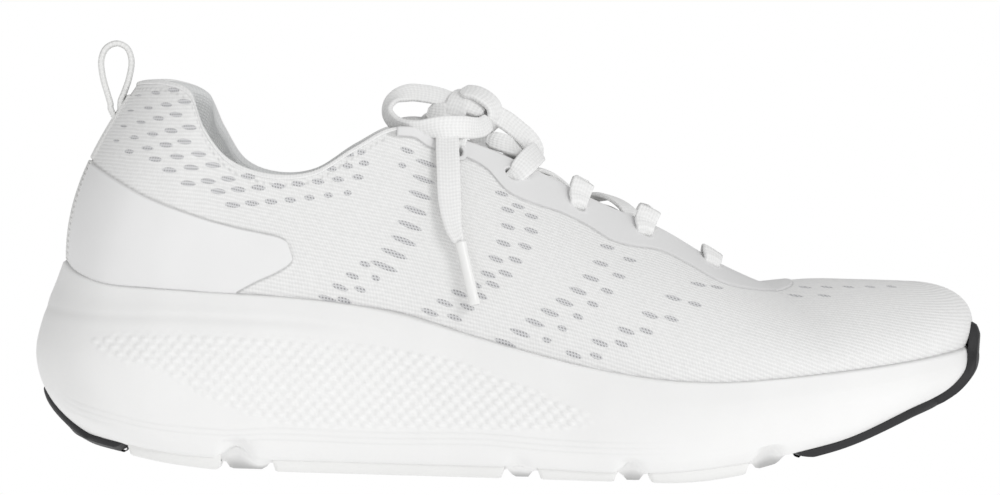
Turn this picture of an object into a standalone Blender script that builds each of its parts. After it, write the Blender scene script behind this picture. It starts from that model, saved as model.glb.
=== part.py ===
"""Low-cut running shoe for the right foot: knit upper, thick foam midsole, rubber outsole.

Design frame, in millimetres: x runs from the back of the heel (0) to the toe, y is
negative on the outer (lateral) side and positive on the inner (medial) side, and z is
the height above the ground.  put() turns a design point into metres about the middle
of the shoe's footprint.
"""
import math

import bmesh
import bpy
from mathutils import Vector

MM = 0.001
UP = Vector((0.0, 0.0, 1.0))

# ------------------------------------------------------------------ driving dimensions
MIDDLE = (141.245, -0.145)  # middle of the footprint
GAP = 0.3                  # clearance between neighbouring solids
WRAP_GAP = 0.7             # clearance under rubber that bends round the sole
LACE_RADIUS = 0.8          # stand-in tube for the flat lace
STATIONS = 30              # ribs on one side, from heel to toe

# Layers of the upper: how far each face lies inside (+) or outside (-) the knit's face
KNIT = (0.0, 1.5)
OVERLAY = (-1.0, -0.35)
BACKING = (2.0, 2.6)
COUNTER = (1.85, 3.05)
PUFF = (1.85, 2.65)
VAMP_LINING = (3.0, 3.7)
TAPE = (-2.1, -1.5)
TAB_ANCHOR = (-1.9, -0.4)
TAPE_SHARES = (-0.024, -0.012, 0.0, 0.012, 0.024)
ANCHOR_SHARES = (-0.016, 0.0, 0.016)
ANCHOR_RISE = (0.56, 0.825)
OVERLAY_ENDS = (0.012, 0.288)   # shares where the heel overlays begin and end
LINING_THICKNESS = 0.8
LEVELS = (-1.0, -0.6, -0.25, 0.0, 0.2, 0.4, 0.6, 0.75, 0.88, 1.0)   # up each rib

# Feather line, where the upper meets the midsole: share of the side, x, y, z
FEATHER_LATERAL = [
    (0.05, 12.5, -13.5, 58.0), (0.10, 21.0, -24.0, 54.8), (0.15, 34.0, -29.0, 53.9),
    (0.20, 48.0, -30.5, 53.3), (0.25, 63.0, -31.0, 52.9), (0.30, 79.0, -31.3, 52.0),
    (0.35, 95.0, -31.8, 50.6), (0.40, 111.0, -32.8, 48.2), (0.45, 127.0, -35.0, 43.6),
    (0.50, 143.0, -38.0, 39.2), (0.55, 159.0, -41.5, 35.2), (0.60, 175.0, -44.8, 32.4),
    (0.65, 191.0, -47.0, 30.7), (0.70, 207.0, -47.0, 30.6), (0.75, 223.0, -45.0, 32.2),
    (0.80, 238.0, -41.0, 34.3), (0.85, 252.5, -34.2, 36.6), (0.90, 265.5, -24.0, 39.2),
    (0.95, 275.4, -9.0, 41.8)]
FEATHER_MEDIAL = [
    (0.05, 12.5, 13.5, 58.0), (0.10, 21.0, 24.0, 55.0), (0.15, 34.0, 29.0, 54.4),
    (0.20, 48.0, 30.0, 54.2), (0.25, 63.0, 29.5, 54.2), (0.30, 79.0, 28.0, 54.0),
    (0.35, 95.0, 26.5, 53.0), (0.40, 111.0, 26.0, 50.8), (0.45, 127.0, 27.5, 46.4),
    (0.50, 143.0, 31.0, 41.6), (0.55, 159.0, 35.5, 37.0), (0.60, 175.0, 40.0, 33.5),
    (0.65, 191.0, 44.0, 31.4), (0.70, 207.0, 46.8, 30.8), (0.75, 223.0, 47.4, 32.2),
    (0.80, 238.0, 45.8, 34.3), (0.85, 252.0, 42.2, 36.5), (0.90, 264.8, 35.6, 39.1),
    (0.95, 275.0, 24.6, 41.7)]
HEEL_FEATHER = (9.1, 0.0, 61.5)
TOE_FEATHER = (279.3, 9.0, 43.1)

# Top edge of the upper: collar, then the lacing edge down to the end of the throat
RIM_LATERAL = [
    (0.05, 31.0, -11.5, 115.2), (0.10, 37.5, -20.5, 115.0), (0.15, 44.6, -25.5, 111.8),
    (0.20, 49.2, -27.4, 101.0), (0.25, 57.0, -28.3, 92.0), (0.30, 69.0, -28.8, 88.1),
    (0.35, 82.0, -28.6, 88.9), (0.40, 94.0, -26.9, 95.8), (0.45, 106.0, -23.6, 102.4),
    (0.50, 120.0, -19.8, 101.8), (0.55, 135.0, -17.6, 97.2), (0.60, 151.0, -16.5, 90.4),
    (0.65, 168.0, -15.3, 82.4), (0.70, 186.0, -13.6, 75.3), (0.75, 203.0, -9.6, 65.9)]
RIM_MEDIAL = [
    (0.05, 31.0, 11.5, 115.2), (0.10, 37.5, 20.5, 115.1), (0.15, 44.6, 25.5, 112.0),
    (0.20, 49.2, 27.4, 101.3), (0.25, 57.0, 28.3, 92.3), (0.30, 69.0, 28.8, 88.4),
    (0.35, 82.0, 28.6, 89.6), (0.40, 94.0, 27.2, 97.0), (0.45, 106.0, 24.8, 103.2),
    (0.50, 120.0, 22.3, 102.4), (0.55, 135.0, 21.4, 97.6), (0.60, 151.0, 21.2, 90.7),
    (0.65, 168.0, 20.8, 82.6), (0.70, 186.0, 19.8, 75.4), (0.75, 203.0, 16.6, 66.0)]
HEEL_RIM = (28.4, 0.0, 114.8)
THROAT_END = (216.0, 4.0, 60.2)
THROAT = 0.80              # where the two lacing edges meet
RIDGE = [
    (0.80, 216.0, 4.0, 60.2), (0.85, 231.0, 5.2, 62.0), (0.90, 244.0, 6.3, 62.2),
    (0.95, 254.5, 7.3, 62.2), (1.00, 262.0, 8.0, 62.1)]

# Shape of the ribs: share, lower handle, its outward lean, upper handle, its angle
RIBS = [
    (0.00, 20.0, 0.05, 20.0, 33.0), (0.05, 20.0, 0.05, 20.0, 30.0),
    (0.10, 20.0, 0.06, 18.0, 22.0), (0.15, 19.0, 0.06, 16.0, 14.0),
    (0.20, 16.0, 0.08, 13.0, 10.0), (0.25, 13.0, 0.10, 11.0, 10.0),
    (0.30, 12.0, 0.12, 10.0, 10.0), (0.35, 13.0, 0.12, 11.0, 12.0),
    (0.40, 15.0, 0.10, 13.0, 16.0), (0.45, 18.0, 0.08, 16.0, 25.0),
    (0.50, 20.0, 0.06, 19.0, 38.0), (0.55, 20.0, 0.06, 20.0, 46.0),
    (0.60, 19.0, 0.08, 20.0, 50.0), (0.65, 17.0, 0.10, 20.0, 54.0),
    (0.70, 15.0, 0.12, 19.0, 60.0), (0.75, 13.0, 0.13, 19.0, 72.0),
    (0.80, 12.0, 0.14, 22.0, 86.0), (0.85, 12.0, 0.15, 20.0, 90.0),
    (0.90, 11.0, 0.16, 18.0, 90.0), (0.95, 10.0, 0.22, 15.0, 90.0),
    (1.00, 9.0, 0.35, 13.0, 90.0)]
CUP_INSET = 5.0            # how far the upper tucks in below the feather line

# Heights along the shoe: x, z
FOOTBED = [(0.0, 38.5), (30.0, 38.5), (60.0, 37.6), (110.0, 33.5), (150.0, 28.0),
           (190.0, 23.2), (215.0, 22.8), (245.0, 25.6), (265.0, 30.0), (283.0, 35.0)]
GROUND = [(0.0, 26.0), (3.4, 20.2), (7.0, 13.5), (15.5, 7.5), (27.0, 4.4), (38.0, 2.1),
          (48.0, 0.8), (58.0, 0.0), (66.0, 0.0), (186.0, 0.0), (194.0, 0.2),
          (204.0, 1.4), (215.0, 3.8), (225.6, 7.1), (244.9, 13.9), (259.7, 20.0),
          (271.5, 27.5), (278.8, 34.0), (283.0, 39.0)]
RUBBER = 2.3               # thickness of the outsole pads
WRAP_DEPTHS = (WRAP_GAP, WRAP_GAP + RUBBER)
BOTTOM_INSET = 6.0         # width of the rounded edge between wall and flat underside
WALL_LEVELS = 11           # levels of the wall, and on up the toe, that rubber may cover
TOE_LEVEL = 0.12           # how far up the upper one of those levels reaches
PAD_EDGE = 3.0             # how far a pad reaches past the flat underside
PAD_SPLIT = 5.0            # half the channel between the lateral and the medial pads
FLEX_GROOVES = [(61.5, 4.6, 7.0), (146.0, 1.2, 5.0), (179.5, 3.6, 5.5), (219.5, 4.4, 6.0)]

# Midsole wall, from lip to bottom edge: outward offset and height at a few stations.
# Each row: share, then (offset, z) for the lip, neck, shelf, bulge, flank, bevel, edge
WALL_LATERAL = [
    (0.00, (1.1, 60.7), (2.6, 55.0), (5.4, 47.4), (9.1, 36.0), (8.2, 27.5), (4.6, 20.5), (-3.5, 12.6)),
    (0.10, (1.2, 54.0), (2.6, 50.5), (5.6, 44.8), (8.8, 33.5), (8.4, 22.0), (6.4, 14.0), (0.5, 8.6)),
    (0.20, (1.3, 52.5), (2.8, 49.8), (5.4, 44.9), (8.6, 32.0), (8.2, 18.0), (6.6, 9.6), (3.2, 4.2)),
    (0.35, (1.3, 49.8), (2.7, 47.0), (4.2, 42.6), (6.6, 30.0), (7.6, 17.0), (6.4, 8.6), (3.2, 3.6)),
    (0.50, (1.3, 38.4), (2.4, 35.2), (3.6, 31.2), (5.2, 23.0), (6.0, 14.5), (5.2, 7.8), (2.6, 3.6)),
    (0.65, (1.3, 29.9), (2.6, 26.8), (4.0, 23.0), (5.2, 17.5), (5.6, 11.8), (4.8, 6.8), (2.4, 3.4)),
    (0.80, (1.3, 33.5), (2.4, 31.0), (3.6, 28.0), (4.4, 24.0), (4.2, 19.4), (2.8, 15.6), (-0.4, 12.8)),
    (0.90, (1.2, 38.2), (1.9, 36.4), (2.6, 34.2), (2.8, 31.4), (1.8, 28.4), (-0.4, 25.9), (-4.4, 24.0)),
    (1.00, (0.6, 42.4), (0.9, 41.2), (0.9, 39.8), (0.3, 38.2), (-1.2, 36.3), (-3.6, 34.2), (-7.2, 31.4))]

# Outline of the heel overlay and the lower edge of the lacing overlay: x, z
HEEL_OVERLAY_TOP = [(8.0, 96.0), (15.6, 90.6), (22.0, 86.4), (32.9, 80.6), (48.1, 75.0),
                    (63.2, 71.3), (70.0, 70.4), (74.0, 68.6), (76.0, 65.6)]
HEEL_OVERLAY_FRONT = [(61.6, 53.5), (64.5, 56.4), (70.0, 60.0), (74.0, 62.4), (76.0, 65.0)]
EYESTAY_LOW = [(100.0, 103.0), (106.0, 101.2), (112.0, 100.6), (116.0, 98.2), (126.9, 95.4),
               (133.6, 92.0), (139.9, 85.6), (147.0, 82.4), (155.7, 79.8), (163.7, 76.2),
               (171.2, 71.9), (177.5, 70.3), (186.0, 69.2), (194.4, 65.4), (202.7, 61.0),
               (209.0, 59.0), (217.0, 58.0)]

# Lacing: share of the side and height up the rib for each pair of eyelets, top first
EYELETS = [(0.515, 0.925), (0.570, 0.905), (0.630, 0.900), (0.685, 0.900), (0.742, 0.915)]
EYELET_RADIUS = 2.5

# Tongue: x, z of its crown, half width
TONGUE = [(104.0, 104.4, 13.0), (108.0, 105.8, 16.0), (116.0, 105.0, 18.5),
          (126.0, 101.1, 20.0), (140.0, 95.8, 20.0), (156.0, 88.4, 19.5), (172.0, 80.6, 18.5),
          (188.0, 71.6, 16.0), (200.0, 62.4, 13.5), (212.0, 54.6, 11.5)]
TONGUE_HINGE = (210.0, 52.0)
TONGUE_DROP = 9.5          # fall of its surface 20 mm to either side of the crown
TONGUE_FACE = (0.0, 1.0)
TONGUE_FOAM = (1.4, 4.2)
TONGUE_LINING = (4.6, 5.3)

# Lacing: rise of the crossing strands over the line between the two edges
STRAND_RISE = (3.2, 5.8)
BOTTOM_BAR = [(200.0, -8.0, 63.6), (200.0, 3.5, 65.4), (199.6, 14.0, 63.8)]
LOOSE_STRAND = [(149.0, -19.0, 97.6), (147.6, -13.0, 104.6), (142.0, -4.0, 109.0),
                (137.0, 6.0, 107.0), (129.6, 14.0, 102.4)]
KNOT_CENTRE = (127.5, 0.0, 109.0)
KNOT_SIZE = (9.5, 8.0, 4.8)
LATERAL_TOP = [(125.0, -22.6, 103.6), (125.6, -14.0, 106.6), (126.0, -9.2, 107.6)]
MEDIAL_TOP = [(124.8, 24.6, 104.4), (125.4, 15.0, 107.0), (126.0, 9.2, 108.0)]

# Free lace: the two loops of the bow and the two ends, starting at the knot
LOOP_LATERAL = [(119.0, -6.6, 106.2), (113.0, -12.0, 104.9), (106.6, -15.2, 105.0),
                (102.8, -13.6, 107.6), (104.6, -9.6, 111.2), (111.0, -6.0, 114.0),
                (117.6, -3.0, 115.2), (122.4, -1.4, 114.6)]
LOOP_MEDIAL = [(120.8, 7.2, 107.6), (118.4, 15.0, 108.2), (115.6, 25.0, 105.0),
               (112.8, 33.6, 97.4), (114.0, 38.2, 89.6), (118.6, 38.6, 88.8),
               (121.8, 35.0, 96.0), (122.4, 26.6, 106.8), (121.6, 17.0, 111.6),
               (123.4, 8.0, 112.6)]
END_LATERAL = [(122.2, -8.2, 106.6), (121.6, -14.0, 107.4), (121.4, -22.0, 106.6),
               (121.8, -27.4, 101.4), (122.4, -31.2, 93.0), (123.0, -34.0, 83.0),
               (124.4, -36.6, 74.0), (126.6, -38.0, 69.4)]
END_MEDIAL = [(129.8, 8.3, 110.4), (130.2, 14.0, 110.8), (131.0, 21.6, 108.2),
              (131.8, 28.6, 101.0), (132.2, 32.8, 91.6), (133.0, 34.8, 82.0),
              (134.2, 35.4, 74.0), (135.6, 35.6, 68.4)]
AGLET_LATERAL = [(126.8, -38.1, 69.0), (131.4, -40.4, 51.4)]
AGLET_MEDIAL = [(135.8, 35.6, 68.0), (139.4, 35.4, 50.6)]
AGLET_RADIUS = 1.5

# Heel pull tab: centre line of the webbing loop
TAB_LOOP = [(20.4, 106.9), (20.4, 108.6), (19.0, 112.0), (17.6, 116.6), (16.9, 121.4),
            (18.2, 125.4), (21.7, 127.3), (25.2, 125.6), (26.5, 121.4), (25.9, 116.4),
            (24.6, 112.2), (23.4, 109.4), (22.6, 107.8)]
TAB_WIDTH = 9.0
TAB_THICKNESS = 1.2
PULL_TAB_HINGE = (21.5, 106.6)
SOCKLINER_HINGE = (268.5, 33.0)


# ------------------------------------------------------------------ curves and tables
def put(point):
    """Design millimetres to metres about the middle of the footprint."""
    return Vector((point[0] - MIDDLE[0], point[1] - MIDDLE[1], point[2])) * MM


def along(rows, key):
    """Smooth curve through rows of (key, value, ...): the values at one key."""
    i = 0
    while i < len(rows) - 2 and key > rows[i + 1][0]:
        i += 1
    a, b = rows[i], rows[i + 1]
    before = rows[i - 1] if i > 0 else a
    after = rows[i + 2] if i + 2 < len(rows) else b
    span = b[0] - a[0]
    f = min(1.0, max(0.0, (key - a[0]) / span))
    h1 = f * f * (3 - 2 * f)
    h2 = f * (1 - f) * (1 - f)
    h3 = f * f * (f - 1)
    out = []
    for p0, p1, p2, p3 in zip(before[1:], a[1:], b[1:], after[1:]):
        m1 = (p2 - p0) / (b[0] - before[0]) * span
        m2 = (p3 - p1) / (after[0] - a[0]) * span
        out.append(p1 + (p2 - p1) * h1 + m1 * h2 + m2 * h3)
    return out


def height(rows, x):
    return along(rows, x)[0]


def loop_rows(lateral, medial, heel, toe=None):
    """One curve from the lateral side (share -1) round the heel (0) to the medial (+1)."""
    rows = [(-row[0],) + tuple(row[1:]) for row in reversed(lateral)]
    rows.append((0.0,) + tuple(heel))
    rows.extend(medial)
    if toe:
        last, first = medial[-1], lateral[-1]
        rows.insert(0, (-1.0,) + tuple(toe))
        rows.insert(0, (-2.0 + last[0],) + tuple(last[1:]))
        rows.append((1.0,) + tuple(toe))
        rows.append((2.0 - first[0],) + tuple(first[1:]))
    return rows


FEATHER = loop_rows(FEATHER_LATERAL, FEATHER_MEDIAL, HEEL_FEATHER, TOE_FEATHER)
RIM = loop_rows(RIM_LATERAL, RIM_MEDIAL, HEEL_RIM)
RIM = [(-THROAT,) + THROAT_END] + RIM + [(THROAT,) + THROAT_END]


def wrap(u):
    return u - 2.0 if u > 1.0 else u + 2.0 if u < -1.0 else u


def feather(u):
    return Vector(along(FEATHER, wrap(u)))


def outward(u):
    """Level direction out of the feather line."""
    step = feather(u + 0.004) - feather(u - 0.004)
    return Vector((-step.y, step.x, 0.0)).normalized()


def rim(u):
    share = abs(wrap(u))
    return Vector(along(RIDGE, share)) if share >= THROAT else Vector(along(RIM, wrap(u)))


def upper(u, v):
    """Knit face: v from -1 (sewn edge under the foot) over 0 (feather line) to 1 (rim)."""
    base = feather(u)
    out = outward(u)
    if v < 0:
        turn = -v * math.pi / 2
        depth = base.z - height(FOOTBED, base.x)
        return base - out * CUP_INSET * (1 - math.cos(turn)) - UP * depth * math.sin(turn)
    low, lean, high, angle = along(RIBS, abs(wrap(u)))
    angle = math.radians(angle)
    top = rim(u)
    p1 = base + (UP + out * lean) * low
    p2 = top + (out * math.sin(angle) - UP * math.cos(angle)) * high
    w = 1 - v
    return base * w**3 + p1 * 3 * w * w * v + p2 * 3 * w * v * v + top * v**3


def face_direction(u, v):
    e = 0.004
    across = upper(u + e, v) - upper(u - e, v)
    up = upper(u, min(1.0, v + e)) - upper(u, max(-1.0, v - e))
    return up.cross(across).normalized()


def skin(u, v, inset):
    """Point of a layer that lies inset millimetres inside the knit's face."""
    normal = face_direction(u, v)
    if v == 1.0 and abs(u) >= THROAT:
        normal = (normal + face_direction(-u, v)).normalized()
    return upper(u, v) - normal * inset


def height_to_share(u, rows):
    """How far up a rib the edge z(x) given by rows crosses it."""
    low, high = 0.0, 1.0
    for _ in range(30):
        mid = (low + high) / 2
        point = upper(u, mid)
        if point.z < height(rows, point.x):
            low = mid
        else:
            high = mid
    return round((low + high) / 2, 5)


# ------------------------------------------------------------------ solids
def material(name, colour, roughness, metallic=0.0):
    made = bpy.data.materials.new(name)
    made.use_nodes = True
    shader = made.node_tree.nodes["Principled BSDF"]
    shader.inputs["Base Color"].default_value = (*colour, 1.0)
    shader.inputs["Roughness"].default_value = roughness
    shader.inputs["Metallic"].default_value = metallic
    return made


class Solid:
    """Collects quads between shared points and turns them into one closed object."""

    def __init__(self):
        self.points = []
        self.index = {}
        self.faces = {}

    def vertex(self, point):
        key = tuple(round(c, 3) for c in point)
        if key not in self.index:
            self.index[key] = len(self.points)
            self.points.append(Vector(point))
        return self.index[key]

    def face(self, corners):
        ring = []
        for corner in corners:
            number = self.vertex(corner)
            if number not in ring:
                ring.append(number)
        if len(ring) < 3:
            return
        key = frozenset(ring)
        if key in self.faces:
            del self.faces[key]        # a wall shared by two slabs is inside the solid
        else:
            self.faces[key] = ring

    def slab(self, outer, inner):
        """Solid between two grids of points with the same rows and columns."""
        rows, columns = len(outer), len(outer[0])
        for grid in (outer, inner):
            for i in range(rows - 1):
                for j in range(columns - 1):
                    a, b = grid[i][j], grid[i + 1][j]
                    c, d = grid[i + 1][j + 1], grid[i][j + 1]
                    self.face((a, b, c))
                    self.face((a, c, d))
        for i in range(rows - 1):
            for j in (0, columns - 1):
                self.face((outer[i][j], outer[i + 1][j], inner[i + 1][j], inner[i][j]))
        for j in range(columns - 1):
            for i in (0, rows - 1):
                self.face((outer[i][j], outer[i][j + 1], inner[i][j + 1], inner[i][j]))

    def build(self, name, surface, pivot=(0.0, 0.0, 0.0)):
        """Closed object whose origin lies on pivot, a point in metres."""
        origin = Vector(pivot)
        mesh = bpy.data.meshes.new(name)
        corners = [put(p) - origin for p in self.points]
        mesh.from_pydata(corners, [], list(self.faces.values()))
        shape = bmesh.new()
        shape.from_mesh(mesh)
        loose = [v for v in shape.verts if not v.link_faces]
        bmesh.ops.delete(shape, geom=loose, context="VERTS")
        bmesh.ops.recalc_face_normals(shape, faces=shape.faces)
        shape.to_mesh(mesh)
        shape.free()
        mesh.shade_smooth()
        mesh.set_sharp_from_angle(angle=math.radians(35))
        mesh.materials.append(surface)
        made = bpy.data.objects.new(name, mesh)
        made.location = origin
        bpy.context.scene.collection.objects.link(made)
        return made


def stations(first, last):
    """Shares of a side at whole ribs; a negative share is on the lateral side."""
    return [i / STATIONS for i in range(first, last + 1)]


def shares(low, high, count):
    return [low + (high - low) * j / count for j in range(count + 1)]


def layer(solid, us, levels, faces):
    """Slab of the upper between two insets; insets and levels may be functions of u."""
    grids = []
    for inset in faces:
        grid = []
        for u in us:
            depth = inset(u) if callable(inset) else inset
            vs = levels(u) if callable(levels) else levels
            grid.append([skin(u, v, depth) for v in vs])
        grids.append(grid)
    solid.slab(*grids)


# ------------------------------------------------------------------ sole
def wall_point(u, level):
    """Point of the midsole's side wall: level 0 at the lip to 6 at the bottom edge."""
    rows = [(row[0],) + row[level + 1] for row in WALL_LATERAL]
    offset, z = along(rows, abs(wrap(u)))
    base = feather(u)
    return Vector((base.x, base.y, 0.0)) + outward(u) * offset + UP * z


def ground(x):
    return max(0.0, height(GROUND, x))


def sole_height(x, lift):
    """Underside of the foam: the ground line, raised by lift and by the flex grooves."""
    z = ground(x) + lift
    for centre, rise, half in FLEX_GROOVES:
        reach = abs(x - centre) / half
        if reach < 1:
            z += rise * (1 + math.cos(math.pi * reach)) / 2
    return z


def under_edge(u):
    """Where the flat underside begins, inside the bottom edge of the wall."""
    edge = wall_point(u, 6)
    inner = edge - outward(u) * BOTTOM_INSET
    return Vector((inner.x, inner.y, sole_height(inner.x, RUBBER + GAP)))


def across(left, right, count, z_of):
    points = []
    for k in range(count + 1):
        x = left.x + (right.x - left.x) * k / count
        y = left.y + (right.y - left.y) * k / count
        points.append(Vector((x, y, z_of(x))))
    return points


def make_midsole():
    foam = material("foam_white", (0.90, 0.90, 0.89), 0.62)
    solid = Solid()
    ts = stations(0, STATIONS)
    floor = []
    under = []
    for t in ts:
        left, right = cavity_corner(-t), cavity_corner(t)
        floor.append(across(left, right, 4, lambda x: height(FOOTBED, x) - GAP))
        under.append(across(under_edge(-t), under_edge(t), 4,
                            lambda x: sole_height(x, RUBBER + GAP)))
    solid.slab(floor, under)
    for side in (-1, 1):
        outer = []
        inner = []
        for t in ts:
            u = side * t
            edge_side = 0 if side < 0 else -1
            column = [under[ts.index(t)][edge_side]]
            column += [wall_point(u, level) for level in (6, 5, 4, 3, 2, 1, 0)]
            outer.append(column)
            cavity = [floor[ts.index(t)][edge_side]]
            cavity += [skin(u, v, -GAP) for v in shares(-0.86, -0.02, 6)]
            inner.append(cavity)
        solid.slab(outer, inner)
    solid.build("midsole", foam)


def cavity_corner(u):
    corner = skin(u, -1.0, 0.0)
    return Vector((corner.x, corner.y, height(FOOTBED, corner.x) - GAP))


def make_wrapped_rubber(name, ts, top_level):
    """Rubber under one end of the sole that turns up over the end of the wall."""
    black = material("rubber_black", (0.030, 0.030, 0.032), 0.55)
    solid = Solid()
    upper_face = []
    lower_face = []
    for t in ts:
        rows = []
        for depth in WRAP_DEPTHS:
            left = under_edge(-t)
            right = under_edge(t)
            rows.append(across(left, right, 4,
                               lambda x, d=depth: sole_height(x, RUBBER + GAP) - d))
        upper_face.append(rows[0])
        lower_face.append(rows[1])
    solid.slab(upper_face, lower_face)
    for side in (-1, 1):
        faces = []
        for number, depth in enumerate(WRAP_DEPTHS):
            grid = []
            for i, t in enumerate(ts):
                start = (upper_face, lower_face)[number][i][0 if side < 0 else -1]
                column = [start]
                for level in range(1, WALL_LEVELS):
                    level = min(level, top_level(t))
                    column.append(wall_offset(side * t, level, depth))
                grid.append(column)
            faces.append(grid)
        solid.slab(faces[0], faces[1])
    solid.build(name, black)


def wall_track(u, level):
    """Wall surface by a running level: 0 under the edge, 1 bottom edge, 7 the lip,
    above 7 up the toe of the upper."""
    if level <= 1:
        return under_edge(u).lerp(wall_point(u, 6), level)
    if level <= 7:
        whole = min(6, int(level))
        return wall_point(u, 7 - whole).lerp(wall_point(u, 6 - whole), level - whole)
    return upper(u, (level - 7) * TOE_LEVEL)


def wall_offset(u, level, depth):
    e = 0.05
    up = wall_track(u, level + e) - wall_track(u, level - e)
    ahead = wall_track(u + 0.004, level) - wall_track(u - 0.004, level)
    return wall_track(u, level) + up.cross(ahead).normalized() * depth


def make_pad(name, x_from, x_to, side):
    """One pod of the outsole, between two flex grooves, on one side of the shoe."""
    white = material("rubber_white", (0.80, 0.80, 0.79), 0.48)
    solid = Solid()
    top = []
    bottom = []
    count = max(2, round((x_to - x_from) / 9))
    for x in shares(x_from, x_to, count):
        edge = pad_edge(x, side)
        inner = side * PAD_SPLIT + pad_middle(x)
        lid = ground(x) + RUBBER
        rows = []
        for z in (lid, ground(x)):
            rows.append([Vector((x, inner + (edge - inner) * f, z)) for f in (0, 0.5, 1)])
        top.append(rows[0])
        bottom.append(rows[1])
    solid.slab(top, bottom)
    solid.build(name, white)


def pad_edge(x, side):
    """Width of the flat underside at x, less a little."""
    low, high = 0.02, 0.98
    for _ in range(30):
        mid = (low + high) / 2
        if under_edge(side * mid).x < x:
            low = mid
        else:
            high = mid
    return under_edge(side * low).y + side * PAD_EDGE


def pad_middle(x):
    return (pad_edge(x, -1) + pad_edge(x, 1)) / 2


# ------------------------------------------------------------------ inside the shoe
def make_board(name, surface, inset, low, high, flare, pivot=(0.0, 0.0, 0.0)):
    """Flat layer over the footbed: inset from the feather line, between two heights."""
    solid = Solid()
    grids = []
    for lift, extra in ((low, 0.0), (high, flare)):
        grid = []
        for t in stations(0, STATIONS):
            ends = []
            for u in (-t, t):
                base = feather(u) - outward(u) * (inset - extra)
                ends.append(base)
            grid.append(across(ends[0], ends[1], 4, lambda x, h=lift: height(FOOTBED, x) + h))
        grids.append(grid)
    solid.slab(*grids)
    solid.build(name, surface, pivot)


def foam_depth(u):
    return 1.85 + along([(0.0, 5.2), (0.1, 5.6), (0.2, 5.6), (0.3, 4.4), (0.38, 1.6),
                         (0.45, 0.9), (1.0, 0.9)], abs(u))[0]


def lining_depth(v, u):
    """Inset of the collar lining's face: close to the counter, then over the foam."""
    rise = min(1.0, max(0.0, (v - 0.20) / 0.30))
    rise = rise * rise * (3 - 2 * rise)
    return 3.4 + (foam_depth(u) + 0.55 - 3.4) * rise


def make_collar_lining():
    cloth = material("lining_grey", (0.62, 0.63, 0.64), 0.9)
    solid = Solid()
    us = stations(-14, 14)
    outer = []
    inner = []
    thick = LINING_THICKNESS
    for u in us:
        vs = LEVELS[1:-1] + (0.955,)
        top = skin(u, 1.0, 0.0)
        normal = face_direction(u, 1.0)
        rise = (upper(u, 1.0) - upper(u, 0.99)).normalized()
        depth = lining_depth(1.0, u)
        middle = (depth + 1.0) / 2
        crest = 1.0 + thick
        outer.append([skin(u, v, lining_depth(v, u)) for v in vs]
                     + [top - normal * (depth - 0.6) + rise * 0.5,
                        top - normal * middle + rise * (crest - thick),
                        top - normal * 1.0 + rise * 0.35])
        inner.append([skin(u, v, lining_depth(v, u) + thick) for v in vs]
                     + [top - normal * (depth + 0.1) + rise * 1.0,
                        top - normal * middle + rise * crest,
                        top - normal * 0.6 + rise * 1.15])
    solid.slab(outer, inner)
    solid.build("collar_lining", cloth)


def make_upper_layers():
    knit = material("knit_white", (0.86, 0.86, 0.85), 0.88)
    film = material("overlay_white", (0.84, 0.84, 0.84), 0.50)
    mesh_grey = material("mesh_grey", (0.55, 0.56, 0.57), 0.92)
    foam = material("padding_white", (0.80, 0.80, 0.78), 0.95)
    board = material("stiffener", (0.72, 0.70, 0.64), 0.8)
    ribbon = material("webbing_white", (0.85, 0.85, 0.84), 0.8)

    shell = Solid()
    for side in (-1, 1):
        us = [side * t for t in stations(0, STATIONS)]
        layer(shell, us, LEVELS, KNIT)
    shell.build("upper_knit", knit)

    lining = Solid()
    for side in (-1, 1):
        us = [side * t for t in stations(15, STATIONS)]
        layer(lining, us, lining_levels, VAMP_LINING)
    lining.build("vamp_lining", mesh_grey)

    padding = Solid()
    layer(padding, stations(-13, 13), (0.6, 0.75, 0.88, 0.97), (2.0, foam_depth))
    padding.build("collar_foam", foam)

    counter = Solid()
    layer(counter, stations(-8, 8), counter_levels, COUNTER)
    counter.build("heel_counter", board)

    puff = Solid()
    for side in (-1, 1):
        us = [side * t for t in stations(26, STATIONS)]
        layer(puff, us, LEVELS[1:7], PUFF)
    puff.build("toe_puff", board)

    for side, name in ((-1, "heel_overlay_lateral"), (1, "heel_overlay_medial")):
        overlay = Solid()
        us = [side * t for t in (OVERLAY_ENDS[0], *stations(1, 8), OVERLAY_ENDS[1])]
        layer(overlay, us, overlay_levels, OVERLAY)
        overlay.build(name, film)

    tape = Solid()
    layer(tape, TAPE_SHARES, (0.02, 0.2, 0.4, 0.5), TAPE)
    tape.build("heel_seam_tape", ribbon)

    for name, faces, surface in (("eyestay_overlay", OVERLAY, film),
                                 ("eyestay_backing", BACKING, board)):
        band = Solid()
        for side in (-1, 1):
            us = [side * t for t in stations(14, 25)]
            layer(band, us, band_levels, faces)
        made = band.build(name, surface)
        punch_eyelets(made)
    punch_eyelets(bpy.data.objects["upper_knit"])


def lining_levels(u):
    """The vamp lining stops under the lacing overlay, and closes over the toes."""
    top = 1.0 if abs(u) > 0.84 else height_to_share(u, EYESTAY_LOW) - 0.03
    return [v if v <= 0 else v * top for v in LEVELS[1:]]


def counter_levels(u):
    top = 0.52 - 0.9 * abs(u)
    return [v if v <= 0 else v * top / 0.6 for v in (-0.8, -0.4) + LEVELS[3:7]]


def overlay_levels(u):
    low = 0.02
    if upper(u, 0.0).x > HEEL_OVERLAY_FRONT[0][0]:
        low = max(low, height_to_share(u, HEEL_OVERLAY_FRONT))
    return shares(low, height_to_share(u, HEEL_OVERLAY_TOP), 3)


def band_levels(u):
    low = 0.93 if abs(u) > THROAT else height_to_share(u, EYESTAY_LOW)
    return shares(low, 1.0, 3)


def eyelet(side, row):
    share, up = EYELETS[row]
    return side * share, up


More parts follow.
